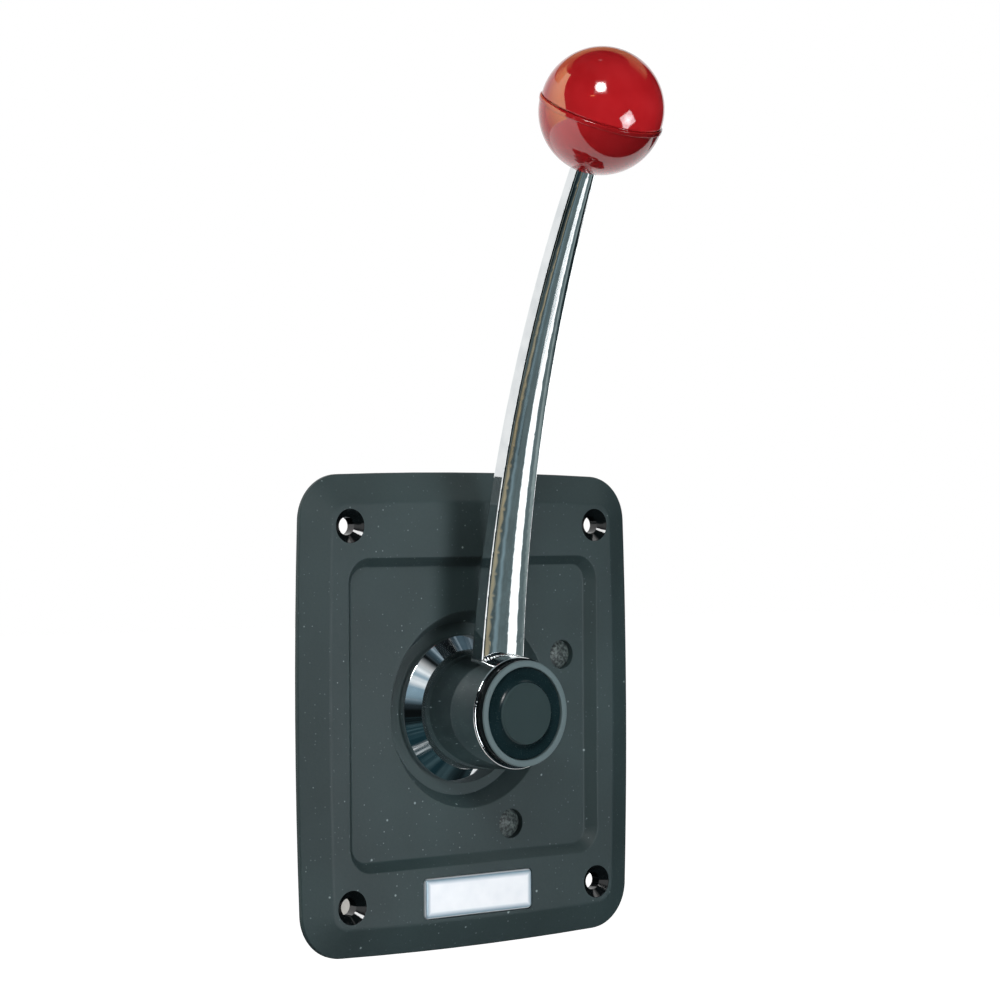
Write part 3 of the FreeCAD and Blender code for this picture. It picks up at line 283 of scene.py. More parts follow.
CARD_STEPS = 24
CLOUD_LOW, CLOUD_HIGH = 0.45, 0.7


def card(name, point, across, up, colours, strengths=(1.0,), fade=0.0, patch=1.0,
         kept_to=None, sheer=False):
    """A sheet over two spans, clouded between two colours, that only gloss sees.

    The strengths are spread evenly across its width. A fade is the share of it that fades out.
    A patch is the size of a cloud in metres. A sheer card adds its light to what is behind it,
    and other pieces look through it."""
    row = CARD_STEPS + 1
    grid = [point(across[0] + (across[1] - across[0]) * i / CARD_STEPS,
                  up[0] + (up[1] - up[0]) * j / CARD_STEPS) for i in range(row) for j in range(row)]
    faces = [(i * row + j, (i + 1) * row + j, (i + 1) * row + j + 1, i * row + j + 1)
             for i in range(CARD_STEPS) for j in range(CARD_STEPS)]
    mesh = bpy.data.meshes.new(name)
    mesh.from_pydata(grid, [], faces)
    glow = []
    for i in range(row):
        at = i / CARD_STEPS * (len(strengths) - 1)
        low = max(min(int(at), len(strengths) - 2), 0)
        high = min(low + 1, len(strengths) - 1)
        level = strengths[low] + (strengths[high] - strengths[low]) * (at - low)
        for j in range(row):
            depth = min(i, CARD_STEPS - i, j, CARD_STEPS - j) / CARD_STEPS
            glow.append(level * min(depth / fade, 1.0) if fade else level)
    mesh.attributes.new("glow", "FLOAT", "POINT").data.foreach_set("value", glow)
    made = bpy.data.objects.new(name, mesh)
    cloth = bpy.data.materials.new("studio_card_" + name)
    cloth.use_nodes = True
    shade = cloth.node_tree
    shade.nodes.clear()
    spot = node(shade, "ShaderNodeTexCoord").outputs["Object"]
    cloud = node(shade, "ShaderNodeTexNoise", {"Vector": spot, "Scale": 1 / patch, "Detail": 2.0})
    part = node(shade, "ShaderNodeMapRange", {0: cloud.outputs[0], 1: CLOUD_LOW, 2: CLOUD_HIGH})
    tone = node(shade, "ShaderNodeMix", {
        0: part.outputs[0], 6: rgb(colours[0]), 7: rgb(colours[1])}, data_type="RGBA")
    glowing = node(shade, "ShaderNodeAttribute", attribute_name="glow").outputs["Fac"]
    light = node(shade, "ShaderNodeEmission", {"Color": tone.outputs[2], "Strength": glowing})
    if sheer:
        clear = node(shade, "ShaderNodeBsdfTransparent")
        light = node(shade, "ShaderNodeAddShader", {0: light.outputs[0], 1: clear.outputs[0]})
    node(shade, "ShaderNodeOutputMaterial", {"Surface": light.outputs[0]})
    mesh.materials.append(cloth)
    for ray in ("camera", "diffuse", "transmission", "shadow"):
        setattr(made, "visible_" + ray, False)
    bpy.context.scene.collection.objects.link(made)
    made.light_linking.receiver_collection = kept_to
    return made


# %% The room that all pieces mirror
# The cards hang in layers and lie in layers, so that no card is in the plane of another.
FAR, NEAR, LAYER = 2.2, 1.9, 0.05
LOW, LIFT, TABLE_Y = -0.34, 0.005, -0.07
TABLE = (-FAR, FAR)
ALL_ROUND, WALL_UP, WALL_LEAN = (-180, 180), (-9, 53), -0.35
WARM_ACROSS, WARM_UP = (98, 256), (38, 60)
WHITE = ("#FFFFFF", "#FFFFFF")

card("dark_room", dome_point(FAR), (-105, 150), (-12, 54), ("#0D1112", "#313C41"), patch=0.6)
card("dark_ceiling", dome_point(FAR), ALL_ROUND, (54, 88), ("#15191B", "#3B4448"), patch=0.5)
card("dark_front", flat_point(LOW), TABLE, (-FAR, TABLE_Y), ("#0B1315", "#2C3D42"), patch=0.12)
card("white_table", flat_point(LOW), TABLE, (TABLE_Y, FAR), WHITE, kept_to=not_plate)
card("left_board", dome_point(FAR - 2 * LAYER, WALL_LEAN), (-112, -67), WALL_UP, WHITE)
card("left_backdrop", dome_point(FAR - LAYER), (-179, -106), WALL_UP, ("#F8F9F8", "#FFFFFF"),
     (1.2, 1.2, 1.1, 1.0))
card("warm_wall", dome_point(FAR - 3 * LAYER), WARM_ACROSS, WARM_UP, ("#E6B57E", "#FFDDA6"),
     (0.9,), fade=0.1, patch=0.5, kept_to=knob_only)

# %% Sheer cards for single pieces
# Each is kept to the pieces that mirror that part of the real room. A row gives the card's
# points and its two spans, then its colours, strengths, fade, patch and the pieces. The glow
# round the lamps is placed about the ball. The lever's strips run out along the floor for
# STRIP_OUT metres and then up, and STRIP_UP is their span along that line.
STRIP_OUT, STRIP_UP, EDGE_UP = 1.1, (0.06, 1.9), (-12, 34)
strip_point = bent_point(STRIP_OUT, LOW + LIFT)
SLATE = (0.3, 0.42, 0.62, 0.66, 0.66, 0.66, 0.66, 0.66)
SHEER = {
    "warm_wall_veil": (dome_point(FAR - 4 * LAYER), WARM_ACROSS, WARM_UP,
                       WHITE, (1.0,), 0.0, 1, plain_white),
    "knob_table": (flat_point(LOW + 4 * LIFT), TABLE, (TABLE_Y, FAR),
                   WHITE, (1.6, 1.2, 0.7, 0.5, 0.4), 0.0, 1, knob_only),
    "knob_board": (dome_point(FAR - 4 * LAYER, WALL_LEAN), (-120, -67), WALL_UP,
                   ("#FFE296", "#FFECAA"), (0.3, 1.1, 2.4, 3.6, 3.8), 0.0, 1, knob_only),
    "lamp_glow": (dome_point(1.1, about=BALL), (-18, 9), (18, 45),
                  WHITE, (8.0,), 0.5, 1, knob_only),
    "softbox_heart": (dome_point(0.6, about=BALL), (40, 59), (-32, -14),
                      WHITE, (14.0,), 0.5, 1, knob_only),
    "warm_bulb": (dome_point(1.1, about=BALL), (-24, -14), (14.6, 17.4),
                  ("#FFA868", "#FFC890"), (9.0,), 0.3, 1, knob_only),
    "umbrella": (dome_point(1.6), (-2, 30), (3, 46),
                 ("#7F98A6", "#FFFFFF"), (1.25,), 0.25, 0.3, flange_only),
    "window_wall": (dome_point(2.0), (30, 112), (40, 54),
                    ("#42545F", "#BACBD6"), (0.9,), 0.1, 0.16, flange_only),
    "teal_floor": (flat_point(LOW + 2 * LIFT), (-0.7, 0.5), (-1.2, -0.1),
                   ("#16323A", "#50686E"), (0.8,), 0.1, 0.06, flange_only),
    "sparkle": (flat_point(LOW + 4 * LIFT), (-0.22, 0.0), (-0.5, -0.28),
                ("#10181A", "#FFFFFF"), (1.1,), 0.2, 0.012, flange_only),
    "hub_sky": (dome_point(NEAR), ALL_ROUND, (40, 88),
                ("#7F9095", "#DCE4E6"), (0.6,), 0.1, 0.4, hub_only),
    "plate_sky": (dome_point(NEAR), (70, 160), (33, 80), WHITE, (0.8,), 0.2, 1, plate_only),
    "plate_front": (dome_point(NEAR), (-34, 14), (-25, 25), WHITE, (0.85,), 0.2, 1, plate_only),
    "slate_wall": (strip_point, (31, 110), STRIP_UP,
                   ("#748486", "#7C8C8E"), SLATE, 0.04, 1, lever_only),
    "tan_strip": (strip_point, (35.6, 40.4), STRIP_UP,
                  ("#D9C08E", "#D9C08E"), (0.6,), 0.5, 1, lever_only),
    "blue_strip": (strip_point, (42.5, 53.5), STRIP_UP,
                   ("#93AEBA", "#93AEBA"), (0.4,), 0.4, 1, lever_only),
    "white_strip": (strip_point, (70, 90), STRIP_UP, WHITE, (1.5,), 0.08, 1, lever_and_badge),
    "grey_strip": (strip_point, (99, 107), STRIP_UP,
                   ("#B4BEBA", "#B4BEBA"), (0.4,), 0.4, 1, lever_only),
    "right_edge": (dome_point(NEAR), (124, 168), EDGE_UP, WHITE, (2.6,), 0.1, 1, lever_only),
    "left_edge": (dome_point(NEAR), (-66, 4), EDGE_UP, WHITE, (1.4,), 0.1, 1, lever_only),
}
for name, settings in SHEER.items():
    card(name, *settings, sheer=True)

# %% [markdown]
# Each finish starts from the real material. The pattern sizes are real ones, in millimetres
# on the piece: Blender's textures are scaled by features per metre, so a grain of 0.5 mm is a
# scale of 2000. All patterns read Object coordinates, so they stay on the piece as it moves.
# Every finish has the same three things a real surface has: a slow drift of colour, a fine
# grain that changes the gloss, and the same grain as relief. What only one material has, such
# as the plate's specks, is wired on top of that, and so is the painted light and shade that a
# few finishes carry.

# %% Start of a finish
# Blender's noise keeps mostly to the middle of its range, so this part of it is stretched.
NOISE_LOW, NOISE_HIGH = 0.3, 0.7


def finish(name, dark, pale, drift_mm, grain_mm, gloss, depth_mm, **sockets):
    """A material with drifting colour, a grain in gloss and relief, and one Principled shader."""
    made = bpy.data.materials.new(name)
    made.use_nodes = True
    tree = made.node_tree
    tree.nodes.clear()
    place = node(tree, "ShaderNodeTexCoord").outputs["Object"]
    drift = node(tree, "ShaderNodeTexNoise", {
        "Vector": place, "Scale": 1 / (drift_mm * MM), "Detail": 2.0})
    share = node(tree, "ShaderNodeMapRange", {0: drift.outputs[0], 1: NOISE_LOW, 2: NOISE_HIGH})
    body = node(tree, "ShaderNodeMix", {0: share.outputs[0], 6: rgb(dark), 7: rgb(pale)},
                data_type="RGBA").outputs[2]
    grain = node(tree, "ShaderNodeTexNoise", {
        "Vector": place, "Scale": 1 / (grain_mm * MM), "Detail": 3.0}).outputs[0]
    rough = node(tree, "ShaderNodeMapRange", {
        0: grain, 1: NOISE_LOW, 2: NOISE_HIGH, 3: gloss[0], 4: gloss[1]}).outputs[0]
    relief = node(tree, "ShaderNodeBump", {"Height": grain, "Distance": depth_mm * MM})
    shader = node(tree, "ShaderNodeBsdfPrincipled", {
        "Base Color": body, "Roughness": rough, "Normal": relief.outputs[0], **sockets})
    node(tree, "ShaderNodeOutputMaterial", {"Surface": shader.outputs[0]})
    return {"material": made, "tree": tree, "place": place, "body": body, "grain": grain,
            "rough": rough, "relief": relief, "shader": shader}


finishes = {}

# %% Moulded plate plastic
# Glass-filled nylon, moulded in a spark-eroded tool: a matte green-grey with a fine even
# grain and a scatter of pale glass and talc specks. The real grain is about 0.2 mm across
# and is drawn at 0.8 mm, since a finer one can't be seen in the picture. The tool was
# polished in the countersinks and left rough in the two round dimples, so the finish
# follows both. The countersinks' cones are also painted near-black, a painted shade inside
# the holes.
HOLE_X, HOLE_Z, SINK_R, SINK_GLOSS = 51.5, 62.0, 5.6, 0.1
DIMPLE_RING, DIMPLE_R, DIMPLE_ANGLES = 43.1, 4.9, (23.6, -67.0)
SAND_MM, SAND_LOW, SAND_HIGH = 0.9, 0.42, 0.68
# Spacing and radius in millimetres, the share of the cells that hold a speck, and its strength.
SPECKS = ((6.0, 0.5, 0.3, 0.7), (2.6, 0.3, 0.22, 0.45), (1.5, 0.3, 0.3, 0.14))


def near_axis(tree, across, up, x_mm, z_mm, radius_mm):
    """1 within the radius of a line along Y through that place, and 0 outside."""
    dx = node(tree, "ShaderNodeMath", {0: across, 1: x_mm * MM}, operation="SUBTRACT").outputs[0]
    dz = node(tree, "ShaderNodeMath", {0: up, 1: z_mm * MM}, operation="SUBTRACT").outputs[0]
    flat = node(tree, "ShaderNodeCombineXYZ", {0: dx, 2: dz}).outputs[0]
    away = node(tree, "ShaderNodeVectorMath", {0: flat}, operation="LENGTH").outputs["Value"]
    return node(tree, "ShaderNodeMath", {0: away, 1: radius_mm * MM},
                operation="LESS_THAN").outputs[0]


def specks(tree, place, spacing_mm, radius_mm, share, strength):
    """The strength inside small round specks, in a share of the cells of a scattered grid."""
    cells = node(tree, "ShaderNodeTexVoronoi", {"Vector": place, "Scale": 1 / (spacing_mm * MM)})
    edge = radius_mm / spacing_mm
    near = node(tree, "ShaderNodeMapRange", {
        0: cells.outputs["Distance"], 1: edge, 2: 0.5 * edge, 3: 0.0, 4: strength}).outputs[0]
    pick = node(tree, "ShaderNodeSeparateColor", {0: cells.outputs["Color"]}).outputs[0]
    kept = node(tree, "ShaderNodeMath", {0: pick, 1: share}, operation="LESS_THAN").outputs[0]
    return node(tree, "ShaderNodeMath", {0: near, 1: kept}, operation="MULTIPLY").outputs[0]


plate = finish("moulded_glass_filled_nylon", "#263637", "#2E4041", 40.0, 0.8, (0.54, 0.62), 0.03,
               IOR=1.53)
tree, place, body = plate["tree"], plate["place"], plate["body"]
axes = node(tree, "ShaderNodeSeparateXYZ", {0: place}).outputs
across = node(tree, "ShaderNodeMath", {0: axes[0]}, operation="ABSOLUTE").outputs[0]
up = node(tree, "ShaderNodeMath", {0: axes[2]}, operation="ABSOLUTE").outputs[0]
countersink_polish_and_shade = near_axis(tree, across, up, HOLE_X, HOLE_Z, SINK_R)
pits = [near_axis(tree, axes[0], axes[2], DIMPLE_RING * math.cos(math.radians(a)),
                  DIMPLE_RING * math.sin(math.radians(a)), DIMPLE_R) for a in DIMPLE_ANGLES]
pit = node(tree, "ShaderNodeMath", {0: pits[0], 1: pits[1]}, operation="ADD").outputs[0]
for spacing, radius, share, strength in SPECKS:
    spotted = specks(tree, place, spacing, radius, share, strength)
    body = node(tree, "ShaderNodeMix", {0: spotted, 6: body, 7: rgb("#A6B8B8")},
                data_type="RGBA").outputs[2]
sandy = node(tree, "ShaderNodeTexNoise", {
    "Vector": place, "Scale": 1 / (SAND_MM * MM), "Detail": 3.0}).outputs[0]
sand = node(tree, "ShaderNodeMapRange", {0: sandy, 1: SAND_LOW, 2: SAND_HIGH}).outputs[0]
rough_skin = node(tree, "ShaderNodeMix", {0: sand, 6: rgb("#262E2E"), 7: rgb("#66726F")},
                  data_type="RGBA").outputs[2]
# Painted shade: the countersinks' cones are painted near-black.
body = node(tree, "ShaderNodeMix", {0: countersink_polish_and_shade, 6: body, 7: rgb("#0C1011")},
            data_type="RGBA").outputs[2]
body = node(tree, "ShaderNodeMix", {0: pit, 6: body, 7: rough_skin}, data_type="RGBA").outputs[2]
tree.links.new(body, plate["shader"].inputs["Base Color"])
gloss = node(tree, "ShaderNodeMix", {0: countersink_polish_and_shade, 2: plate["rough"], 3: SINK_GLOSS},
             data_type="FLOAT").outputs[0]
tree.links.new(gloss, plate["shader"].inputs["Roughness"])
# A level height inside a countersink leaves its polished cone without relief.
height = node(tree, "ShaderNodeMix", {0: pit, 2: plate["grain"], 3: sandy},
              data_type="FLOAT").outputs[0]
height = node(tree, "ShaderNodeMix", {0: countersink_polish_and_shade, 2: height, 3: 0.5}, data_type="FLOAT").outputs[0]
tree.links.new(height, plate["relief"].inputs["Height"])
finishes["plate_plastic"] = plate["material"]
print("plate finish has", len(tree.nodes), "nodes")

# %% Domed badge
# A stamped aluminium badge under clear domed resin: pearl silver, with a glassy skin that
# rolls over at the edge. What that edge mirrors is painted in: a grey-blue band inside it is a
# painted reflection of the dark room, and a pale lip at the very edge is a painted highlight.
BADGE_Z, BADGE_HALF_X, BADGE_HALF_Z = -61.8, 22.6, 6.7
# How far in from the edge the painted reflection band and the painted highlight of the lip begin
# and have their full tone.
REFLECTION_BAND_MM, LIP_HIGHLIGHT_MM = (2.3, 0.8), (0.5, 0.25)
badge = finish("resin_domed_satin_aluminium", "#F1F4F7", "#F8FAFC", 6.0, 0.6, (0.4, 0.44), 0.001,
               Metallic=0.4, **{"Coat Weight": 1.0, "Coat Roughness": 0.05})
tree = badge["tree"]
axes = node(tree, "ShaderNodeSeparateXYZ", {0: badge["place"]}).outputs
painted_reflection = painted_highlight = 0.0
for axis, middle, reach in ((0, 0.0, BADGE_HALF_X), (2, BADGE_Z, BADGE_HALF_Z)):
    shifted = node(tree, "ShaderNodeMath", {0: axes[axis], 1: middle * MM},
                   operation="SUBTRACT").outputs[0]
    away = node(tree, "ShaderNodeMath", {0: shifted}, operation="ABSOLUTE").outputs[0]
    grey, pale = (node(tree, "ShaderNodeMapRange", {
        0: away, 1: (reach - start) * MM, 2: (reach - full) * MM}).outputs[0]
        for start, full in (REFLECTION_BAND_MM, LIP_HIGHLIGHT_MM))
    painted_reflection = node(tree, "ShaderNodeMath", {0: painted_reflection, 1: grey}, operation="MAXIMUM").outputs[0]
    painted_highlight = node(tree, "ShaderNodeMath", {0: painted_highlight, 1: pale}, operation="MAXIMUM").outputs[0]
# Painted reflection as a grey-blue band, then a painted highlight on the pale lip at the edge.
body = node(tree, "ShaderNodeMix", {0: painted_reflection, 6: badge["body"], 7: rgb("#88A0AE")},
            data_type="RGBA").outputs[2]
body = node(tree, "ShaderNodeMix", {0: painted_highlight, 6: body, 7: rgb("#E4EBEF")},
            data_type="RGBA").outputs[2]
tree.links.new(body, badge["shader"].inputs["Base Color"])
finishes["badge_metal"] = badge["material"]
print("badge finish has", len(tree.nodes), "nodes")

# %% Polished metal
# Chrome plate on polished steel. The buffing leaves a faint waviness, which bends the
# reflections, and a film of handling that is only a little rougher than a mirror.
chrome = finish("buffed_chrome_plate", "#D6DADC", "#E6E9EA", 6.0, 9.0, (0.03, 0.07), 0.0015,
                Metallic=1.0)
finishes["polished_metal"] = chrome["material"]

# %% Red knob
# Phenolic resin, turned and polished to a deep gloss: a clear even red with very faint
# clouding in the resin.
knob = finish("polished_red_phenolic", "#AE191E", "#BC2227", 9.0, 7.0, (0.04, 0.08), 0.008,
              IOR=1.54)
finishes["knob_plastic"] = knob["material"]

# %% Button plastic
# Black acetal: the dish of the button is polished, its middle and the ring's face are matte,
# and the ring's outer side is polished. The matte middle and face are painted lighter, a
# painted sheen, and the ring's outer side is painted near-black, a painted shade.
BUTTON_DISC_R, RING_BORE_R, RING_EDGE_R, RING_SIDE_Y = 10.3, 15.2, 16.9, -31.6
BLEND_MM, MATTE_GLOSS, SIDE_GLOSS = 0.2, 0.5, 0.2
button = finish("turned_black_acetal", "#1B3135", "#223A3F", 12.0, 0.5, (0.24, 0.28), 0.001,
                IOR=1.48)
tree = button["tree"]
split = node(tree, "ShaderNodeSeparateXYZ", {0: button["place"]}).outputs
flat = node(tree, "ShaderNodeCombineXYZ", {0: split[0], 1: 0.0, 2: split[2]}).outputs[0]
radius = node(tree, "ShaderNodeVectorMath", {0: flat}, operation="LENGTH").outputs["Value"]
disc_matte_and_sheen = node(tree, "ShaderNodeMapRange", {
    0: radius, 1: (BUTTON_DISC_R - BLEND_MM) * MM, 2: BUTTON_DISC_R * MM,
    3: 1.0, 4: 0.0}).outputs[0]
face_matte_and_sheen = node(tree, "ShaderNodeMapRange", {
    0: radius, 1: (RING_BORE_R - BLEND_MM / 2) * MM, 2: RING_BORE_R * MM}).outputs[0]
outer = node(tree, "ShaderNodeMath", {0: radius, 1: RING_EDGE_R * MM},
             operation="GREATER_THAN").outputs[0]
behind = node(tree, "ShaderNodeMapRange", {
    0: split[1], 1: RING_SIDE_Y * MM, 2: (RING_SIDE_Y + BLEND_MM) * MM}).outputs[0]
painted_shade_side = node(tree, "ShaderNodeMath", {0: behind, 1: outer}, operation="MULTIPLY").outputs[0]
body = button["body"]
# Painted sheen lightens the matte middle and face, and painted shade darkens the ring's outer side.
for share, colour in ((disc_matte_and_sheen, "#4C6163"), (face_matte_and_sheen, "#5C6E70"), (painted_shade_side, "#090E0F")):
    body = node(tree, "ShaderNodeMix", {0: share, 6: body, 7: rgb(colour)},
                data_type="RGBA").outputs[2]
tree.links.new(body, button["shader"].inputs["Base Color"])
matte = node(tree, "ShaderNodeMath", {0: disc_matte_and_sheen, 1: face_matte_and_sheen}, operation="MAXIMUM").outputs[0]
gloss = button["rough"]
for share, level in ((matte, MATTE_GLOSS), (painted_shade_side, SIDE_GLOSS)):
    gloss = node(tree, "ShaderNodeMix", {0: share, 2: gloss, 3: level},
                 data_type="FLOAT").outputs[0]
tree.links.new(gloss, button["shader"].inputs["Roughness"])
finishes["button_plastic"] = button["material"]
print("button finish has", len(tree.nodes), "nodes")

# %% Metals and plastics of the mechanism
# Turned and milled steel has a fine tool grain, brass the same in yellow, and the die-cast
# housing a soft skin with a sand grain from its blasting. The bushes are white acetal with a
# waxy skin, and the seal is black nitrile with a bloom of dust. Tool grain is finer than
# 0.1 mm in life and is drawn coarser here, so that it can be seen. A row gives the
# material's name, two colours, drift and grain in millimetres, the gloss, the relief in
# millimetres and how metallic it is.
PLAIN = {
    "machined_steel": ("zinc_plated_machined_steel", "#A9AEB3", "#C3C8CC",
                       12.0, 0.35, (0.28, 0.42), 0.006, 1.0),
    "spring_steel": ("drawn_spring_steel", "#8B8F92", "#A6AAAC",
                     12.0, 0.3, (0.22, 0.35), 0.004, 1.0),
    "brass_insert": ("turned_free_cutting_brass", "#C9A85A", "#DDC07A",
                     12.0, 0.4, (0.2, 0.34), 0.005, 1.0),
    "swivel_brass": ("turned_brass_swivel", "#BF9E52", "#D6B76C",
                     12.0, 0.4, (0.24, 0.38), 0.006, 1.0),
    "cast_housing": ("blasted_die_cast_aluminium", "#8D9294", "#A3A8AA",
                     12.0, 0.7, (0.45, 0.62), 0.03, 1.0),
    "bush_plastic": ("injection_moulded_white_acetal", "#D5D3CB", "#E2E0D8",
                     3.0, 0.8, (0.3, 0.42), 0.008, 0.0),
    "seal_rubber": ("moulded_nitrile_rubber", "#141515", "#232525",
                    3.0, 0.5, (0.55, 0.75), 0.02, 0.0),
}
for slot_name, (*row, metallic) in PLAIN.items():
    finishes[slot_name] = finish(*row, Metallic=metallic)["material"]
print("finishes:", sorted(finishes))

# %% Put the finishes on the pieces
for name, piece in nodes.items():
    slot_name = piece.data.materials[0].name.split(".")[0]
    piece.data.materials[0] = finishes[slot_name]
print("finished pieces:", len(nodes))

# %% [markdown]
# The two coil springs are wound from round wire, with a closed turn at each end so that they
# stand square. That follows a rule, so Geometry Nodes wind them: a spiral of even radius is
# lifted by how far along the wire a point is, slowly in the end turns and faster between.

# %% Tree that winds a spring
END_TURNS, TURN_STEPS, WIRE_SIDES = 2.0, 36, 14


def winding_tree():
    tree = bpy.data.node_groups.new("wound_spring", "GeometryNodeTree")
    tree.interface.new_socket("Geometry", in_out="OUTPUT", socket_type="NodeSocketGeometry")
    for name in ("Coil radius", "Wire radius", "Length", "Active turns"):
        tree.interface.new_socket(name, in_out="INPUT", socket_type="NodeSocketFloat")
    tree.interface.new_socket("Finish", in_out="INPUT", socket_type="NodeSocketMaterial")
    given = node(tree, "NodeGroupInput").outputs
    turns = node(tree, "ShaderNodeMath", {0: given["Active turns"], 1: END_TURNS}).outputs[0]
    ends = node(tree, "ShaderNodeMath", {0: 1.0, 1: turns}, operation="DIVIDE").outputs[0]
    rest = node(tree, "ShaderNodeMath", {0: 1.0, 1: ends}, operation="SUBTRACT").outputs[0]
    wire = node(tree, "ShaderNodeMath", {0: given["Wire radius"], 1: 2.0},
                operation="MULTIPLY").outputs[0]
    # Each end turn rises by one wire, and the wire's own thickness takes the third.
    spare = node(tree, "ShaderNodeMath", {0: wire, 1: 3.0}, operation="MULTIPLY").outputs[0]
    middle = node(tree, "ShaderNodeMath", {0: given["Length"], 1: spare},
                  operation="SUBTRACT").outputs[0]
    spiral = node(tree, "GeometryNodeCurveSpiral", {
        "Resolution": TURN_STEPS, "Rotations": turns, "Start Radius": given["Coil radius"],
        "End Radius": given["Coil radius"], "Height": 0.0})
    along = node(tree, "GeometryNodeSplineParameter").outputs["Factor"]
    lift = given["Wire radius"]
    for start, end, rise in ((0.0, ends, wire), (ends, rest, middle), (rest, 1.0, wire)):
        part = node(tree, "ShaderNodeMapRange", {
            0: along, 1: start, 2: end, 3: 0.0, 4: rise}).outputs[0]
        lift = node(tree, "ShaderNodeMath", {0: lift, 1: part}, operation="ADD").outputs[0]
    shift = node(tree, "ShaderNodeCombineXYZ", {2: lift}).outputs[0]
    wound = node(tree, "GeometryNodeSetPosition", {"Geometry": spiral.outputs[0], "Offset": shift})
    ring = node(tree, "GeometryNodeCurvePrimitiveCircle", {
        "Resolution": WIRE_SIDES, "Radius": given["Wire radius"]})
    tube = node(tree, "GeometryNodeCurveToMesh", {
        "Curve": wound.outputs[0], "Profile Curve": ring.outputs[0], "Fill Caps": True})
    laid = node(tree, "GeometryNodeTransform", {
        "Geometry": tube.outputs[0], "Rotation": (-math.pi / 2, 0, 0)})
    whole = node(tree, "GeometryNodeRealizeInstances", {0: laid.outputs[0]})
    dressed = node(tree, "GeometryNodeSetMaterial", {
        "Geometry": whole.outputs[0], "Material": given["Finish"]})
    node(tree, "NodeGroupOutput", {0: dressed.outputs[0]})
    return tree


def grow(name, tree, values, loop=()):
    """Runs a tree on a closed loop of points, or on nothing, and gives a smooth plain mesh."""
    source = bpy.data.meshes.new(name + "_source")
    source.from_pydata(loop, [(k, (k + 1) % len(loop)) for k in range(len(loop))], [])
    blank = bpy.data.objects.new(name + "_source", source)
    bpy.context.scene.collection.objects.link(blank)
    modifier = blank.modifiers.new("tree", "NODES")
    modifier.node_group = tree
    for item in tree.interface.items_tree:
        if item.in_out == "INPUT" and item.name in values:
            modifier[item.identifier] = values[item.name]
    bpy.context.view_layer.update()
    seen = blank.evaluated_get(bpy.context.evaluated_depsgraph_get())
    mesh = bpy.data.meshes.new_from_object(seen)
    mesh.name = name
    for polygon in mesh.polygons:
        polygon.use_smooth = True
    bpy.data.objects.remove(blank)
    piece = bpy.data.objects.new(name, mesh)
    bpy.context.scene.collection.objects.link(piece)
    return piece


winding = winding_tree()
print("winding tree inputs:", [s.name for s in winding.interface.items_tree if s.in_out == "INPUT"])

# %% Wind the two springs
WIRE_R = 0.55 * MM
# The axis that each spring lies along, and its active turns.
SPRINGS = {"button_spring": (1, 4.0), "detent_spring": (2, 5.0)}
for name, (long_way, active_turns) in SPRINGS.items():
    low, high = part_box(name)
    length = high[long_way] - low[long_way]
    coil_r = (high[0] - low[0]) / 2 - WIRE_R
    values = {"Coil radius": coil_r, "Wire radius": WIRE_R, "Length": length,
              "Active turns": active_turns, "Finish": finishes["spring_steel"]}
    spring = grow("wound_" + name, winding, values)
    if long_way == 2:
        spring.data.transform(Matrix.Rotation(math.pi / 2, 4, "X"))
    start = [(a + b) / 2 for a, b in zip(low, high)]
    start[long_way] = low[long_way]
    spring.data.transform(Matrix.Translation(start))
    spring.data.update()
    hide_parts(name)
    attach(spring, nodes[name]["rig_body"])
    if name == "button_spring":
        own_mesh(spring)
    print(name, "length mm", round(length / MM, 2), "faces", len(spring.data.polygons))

# %% [markdown]
# The lever is welded to the side of the hub, and the weld shows as a thin rippled bead where
# the two meet. The bead runs along the line where the bar's outline, slid down along the bar,
# reaches the hub's slightly conical side. That line is worked out point by point from the
# sizes of the two, and a tree lays a tube along it whose thickness swells with each ripple.

# %% The line where the lever meets the hub
ROOT = Vector((0, -16.7, 12.3))
TILT = math.radians(4.73)
ALONG = Vector((0, -math.sin(TILT), math.cos(TILT)))
OUTWARD = Vector((0, -math.cos(TILT), -math.sin(TILT)))
HALF_WIDTH, HALF_DEPTH, CROWN, CORNER = 8.7, 3.15, 1.28, 0.7
RIM_R, RIM_Y, BASE_R, BASE_Y = 18.5, -28.5, 20.2, -1.7
CORNER_STEPS, SLIDES = 8, 12


def bar_outline(count):
    """Points round the bar's section: flat back and sides, soft corners and a bulging front."""
    outline = []
    for corner_x, corner_v, start in ((1, -1, -90), (1, 1, 0), (-1, 1, 90), (-1, -1, 180)):
        for k in range(count + 1):
            a = math.radians(start + 90 * k / count)
            outline.append((corner_x * (HALF_WIDTH - CORNER) + CORNER * math.cos(a),
                            corner_v * (HALF_DEPTH - CORNER) + CORNER * math.sin(a)))
        if (corner_x, corner_v) == (1, 1):
            for k in range(1, 4 * count):
                x = (HALF_WIDTH - CORNER) * (1 - k / (2 * count))
                outline.append((x, HALF_DEPTH + CROWN * (1 - (x / (HALF_WIDTH - CORNER)) ** 2)))
    return outline


def on_hub(x, v):
    """Slides a point of the section along the bar, nearer each time, onto the hub's side."""
    point = ROOT + Vector((x, 0, 0)) + OUTWARD * v
    for _ in range(SLIDES):
        hub_r = RIM_R + (BASE_R - RIM_R) * (point.y - RIM_Y) / (BASE_Y - RIM_Y)
        point += ALONG * (math.sqrt(hub_r ** 2 - point.x ** 2) - point.z)
    return point * MM


seam = [on_hub(x, v) for x, v in bar_outline(CORNER_STEPS)]
print("weld line:", len(seam), "points, lowest", round(min(p.z for p in seam) / MM, 2), "mm")

# %% Lay the bead
BEAD_R, RIPPLE_LENGTH, RIPPLE_SWELL = 0.5 * MM, 1.1 * MM, 0.14
BEAD_POINTS, BEAD_SIDES = 420, 12


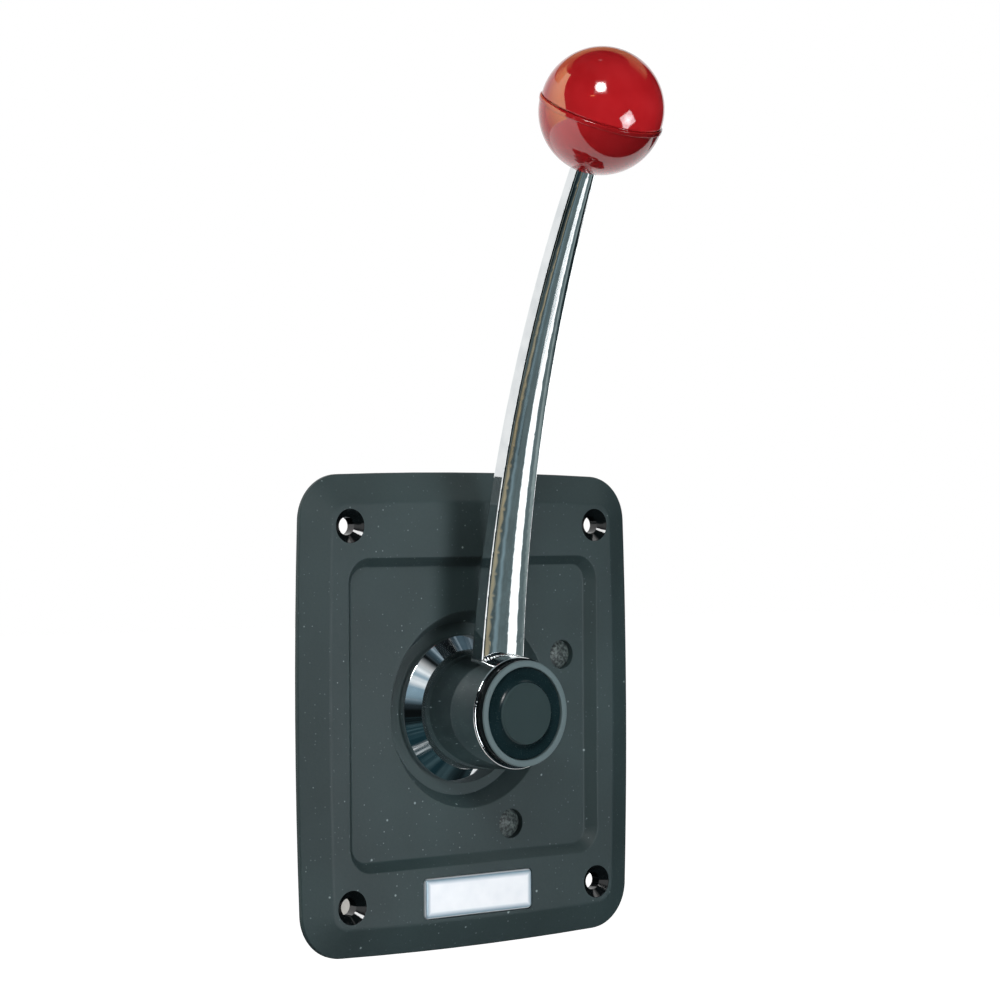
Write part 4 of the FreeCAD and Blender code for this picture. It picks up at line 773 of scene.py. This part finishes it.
def bead_tree():
    tree = bpy.data.node_groups.new("weld_bead", "GeometryNodeTree")
    tree.interface.new_socket("Geometry", in_out="OUTPUT", socket_type="NodeSocketGeometry")
    tree.interface.new_socket("Geometry", in_out="INPUT", socket_type="NodeSocketGeometry")
    for name in ("Bead radius", "Ripple length", "Ripple swell"):
        tree.interface.new_socket(name, in_out="INPUT", socket_type="NodeSocketFloat")
    tree.interface.new_socket("Finish", in_out="INPUT", socket_type="NodeSocketMaterial")
    given = node(tree, "NodeGroupInput").outputs
    path = node(tree, "GeometryNodeMeshToCurve", {0: given["Geometry"]})
    fine = node(tree, "GeometryNodeResampleCurve", {"Curve": path.outputs[0], "Count": BEAD_POINTS})
    along = node(tree, "GeometryNodeSplineParameter").outputs["Length"]
    ripples = node(tree, "ShaderNodeMath", {0: along, 1: given["Ripple length"]},
                   operation="DIVIDE").outputs[0]
    angle = node(tree, "ShaderNodeMath", {0: ripples, 1: 2 * math.pi},
                 operation="MULTIPLY").outputs[0]
    wave = node(tree, "ShaderNodeMath", {0: angle}, operation="SINE").outputs[0]
    swell = node(tree, "ShaderNodeMath", {0: wave, 1: given["Ripple swell"], 2: 1.0},
                 operation="MULTIPLY_ADD").outputs[0]
    ring = node(tree, "GeometryNodeCurvePrimitiveCircle", {
        "Resolution": BEAD_SIDES, "Radius": given["Bead radius"]})
    tube = node(tree, "GeometryNodeCurveToMesh", {
        "Curve": fine.outputs[0], "Profile Curve": ring.outputs[0], "Scale": swell})
    whole = node(tree, "GeometryNodeRealizeInstances", {0: tube.outputs[0]})
    dressed = node(tree, "GeometryNodeSetMaterial", {
        "Geometry": whole.outputs[0], "Material": given["Finish"]})
    node(tree, "NodeGroupOutput", {0: dressed.outputs[0]})
    return tree


bead = grow("weld_bead", bead_tree(), {
    "Bead radius": BEAD_R, "Ripple length": RIPPLE_LENGTH, "Ripple swell": RIPPLE_SWELL,
    "Finish": finishes["polished_metal"]}, seam)
lever_only.objects.link(bead)
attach(bead, nodes["lever_arm"]["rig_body"])
print("weld bead faces:", len(bead.data.polygons))
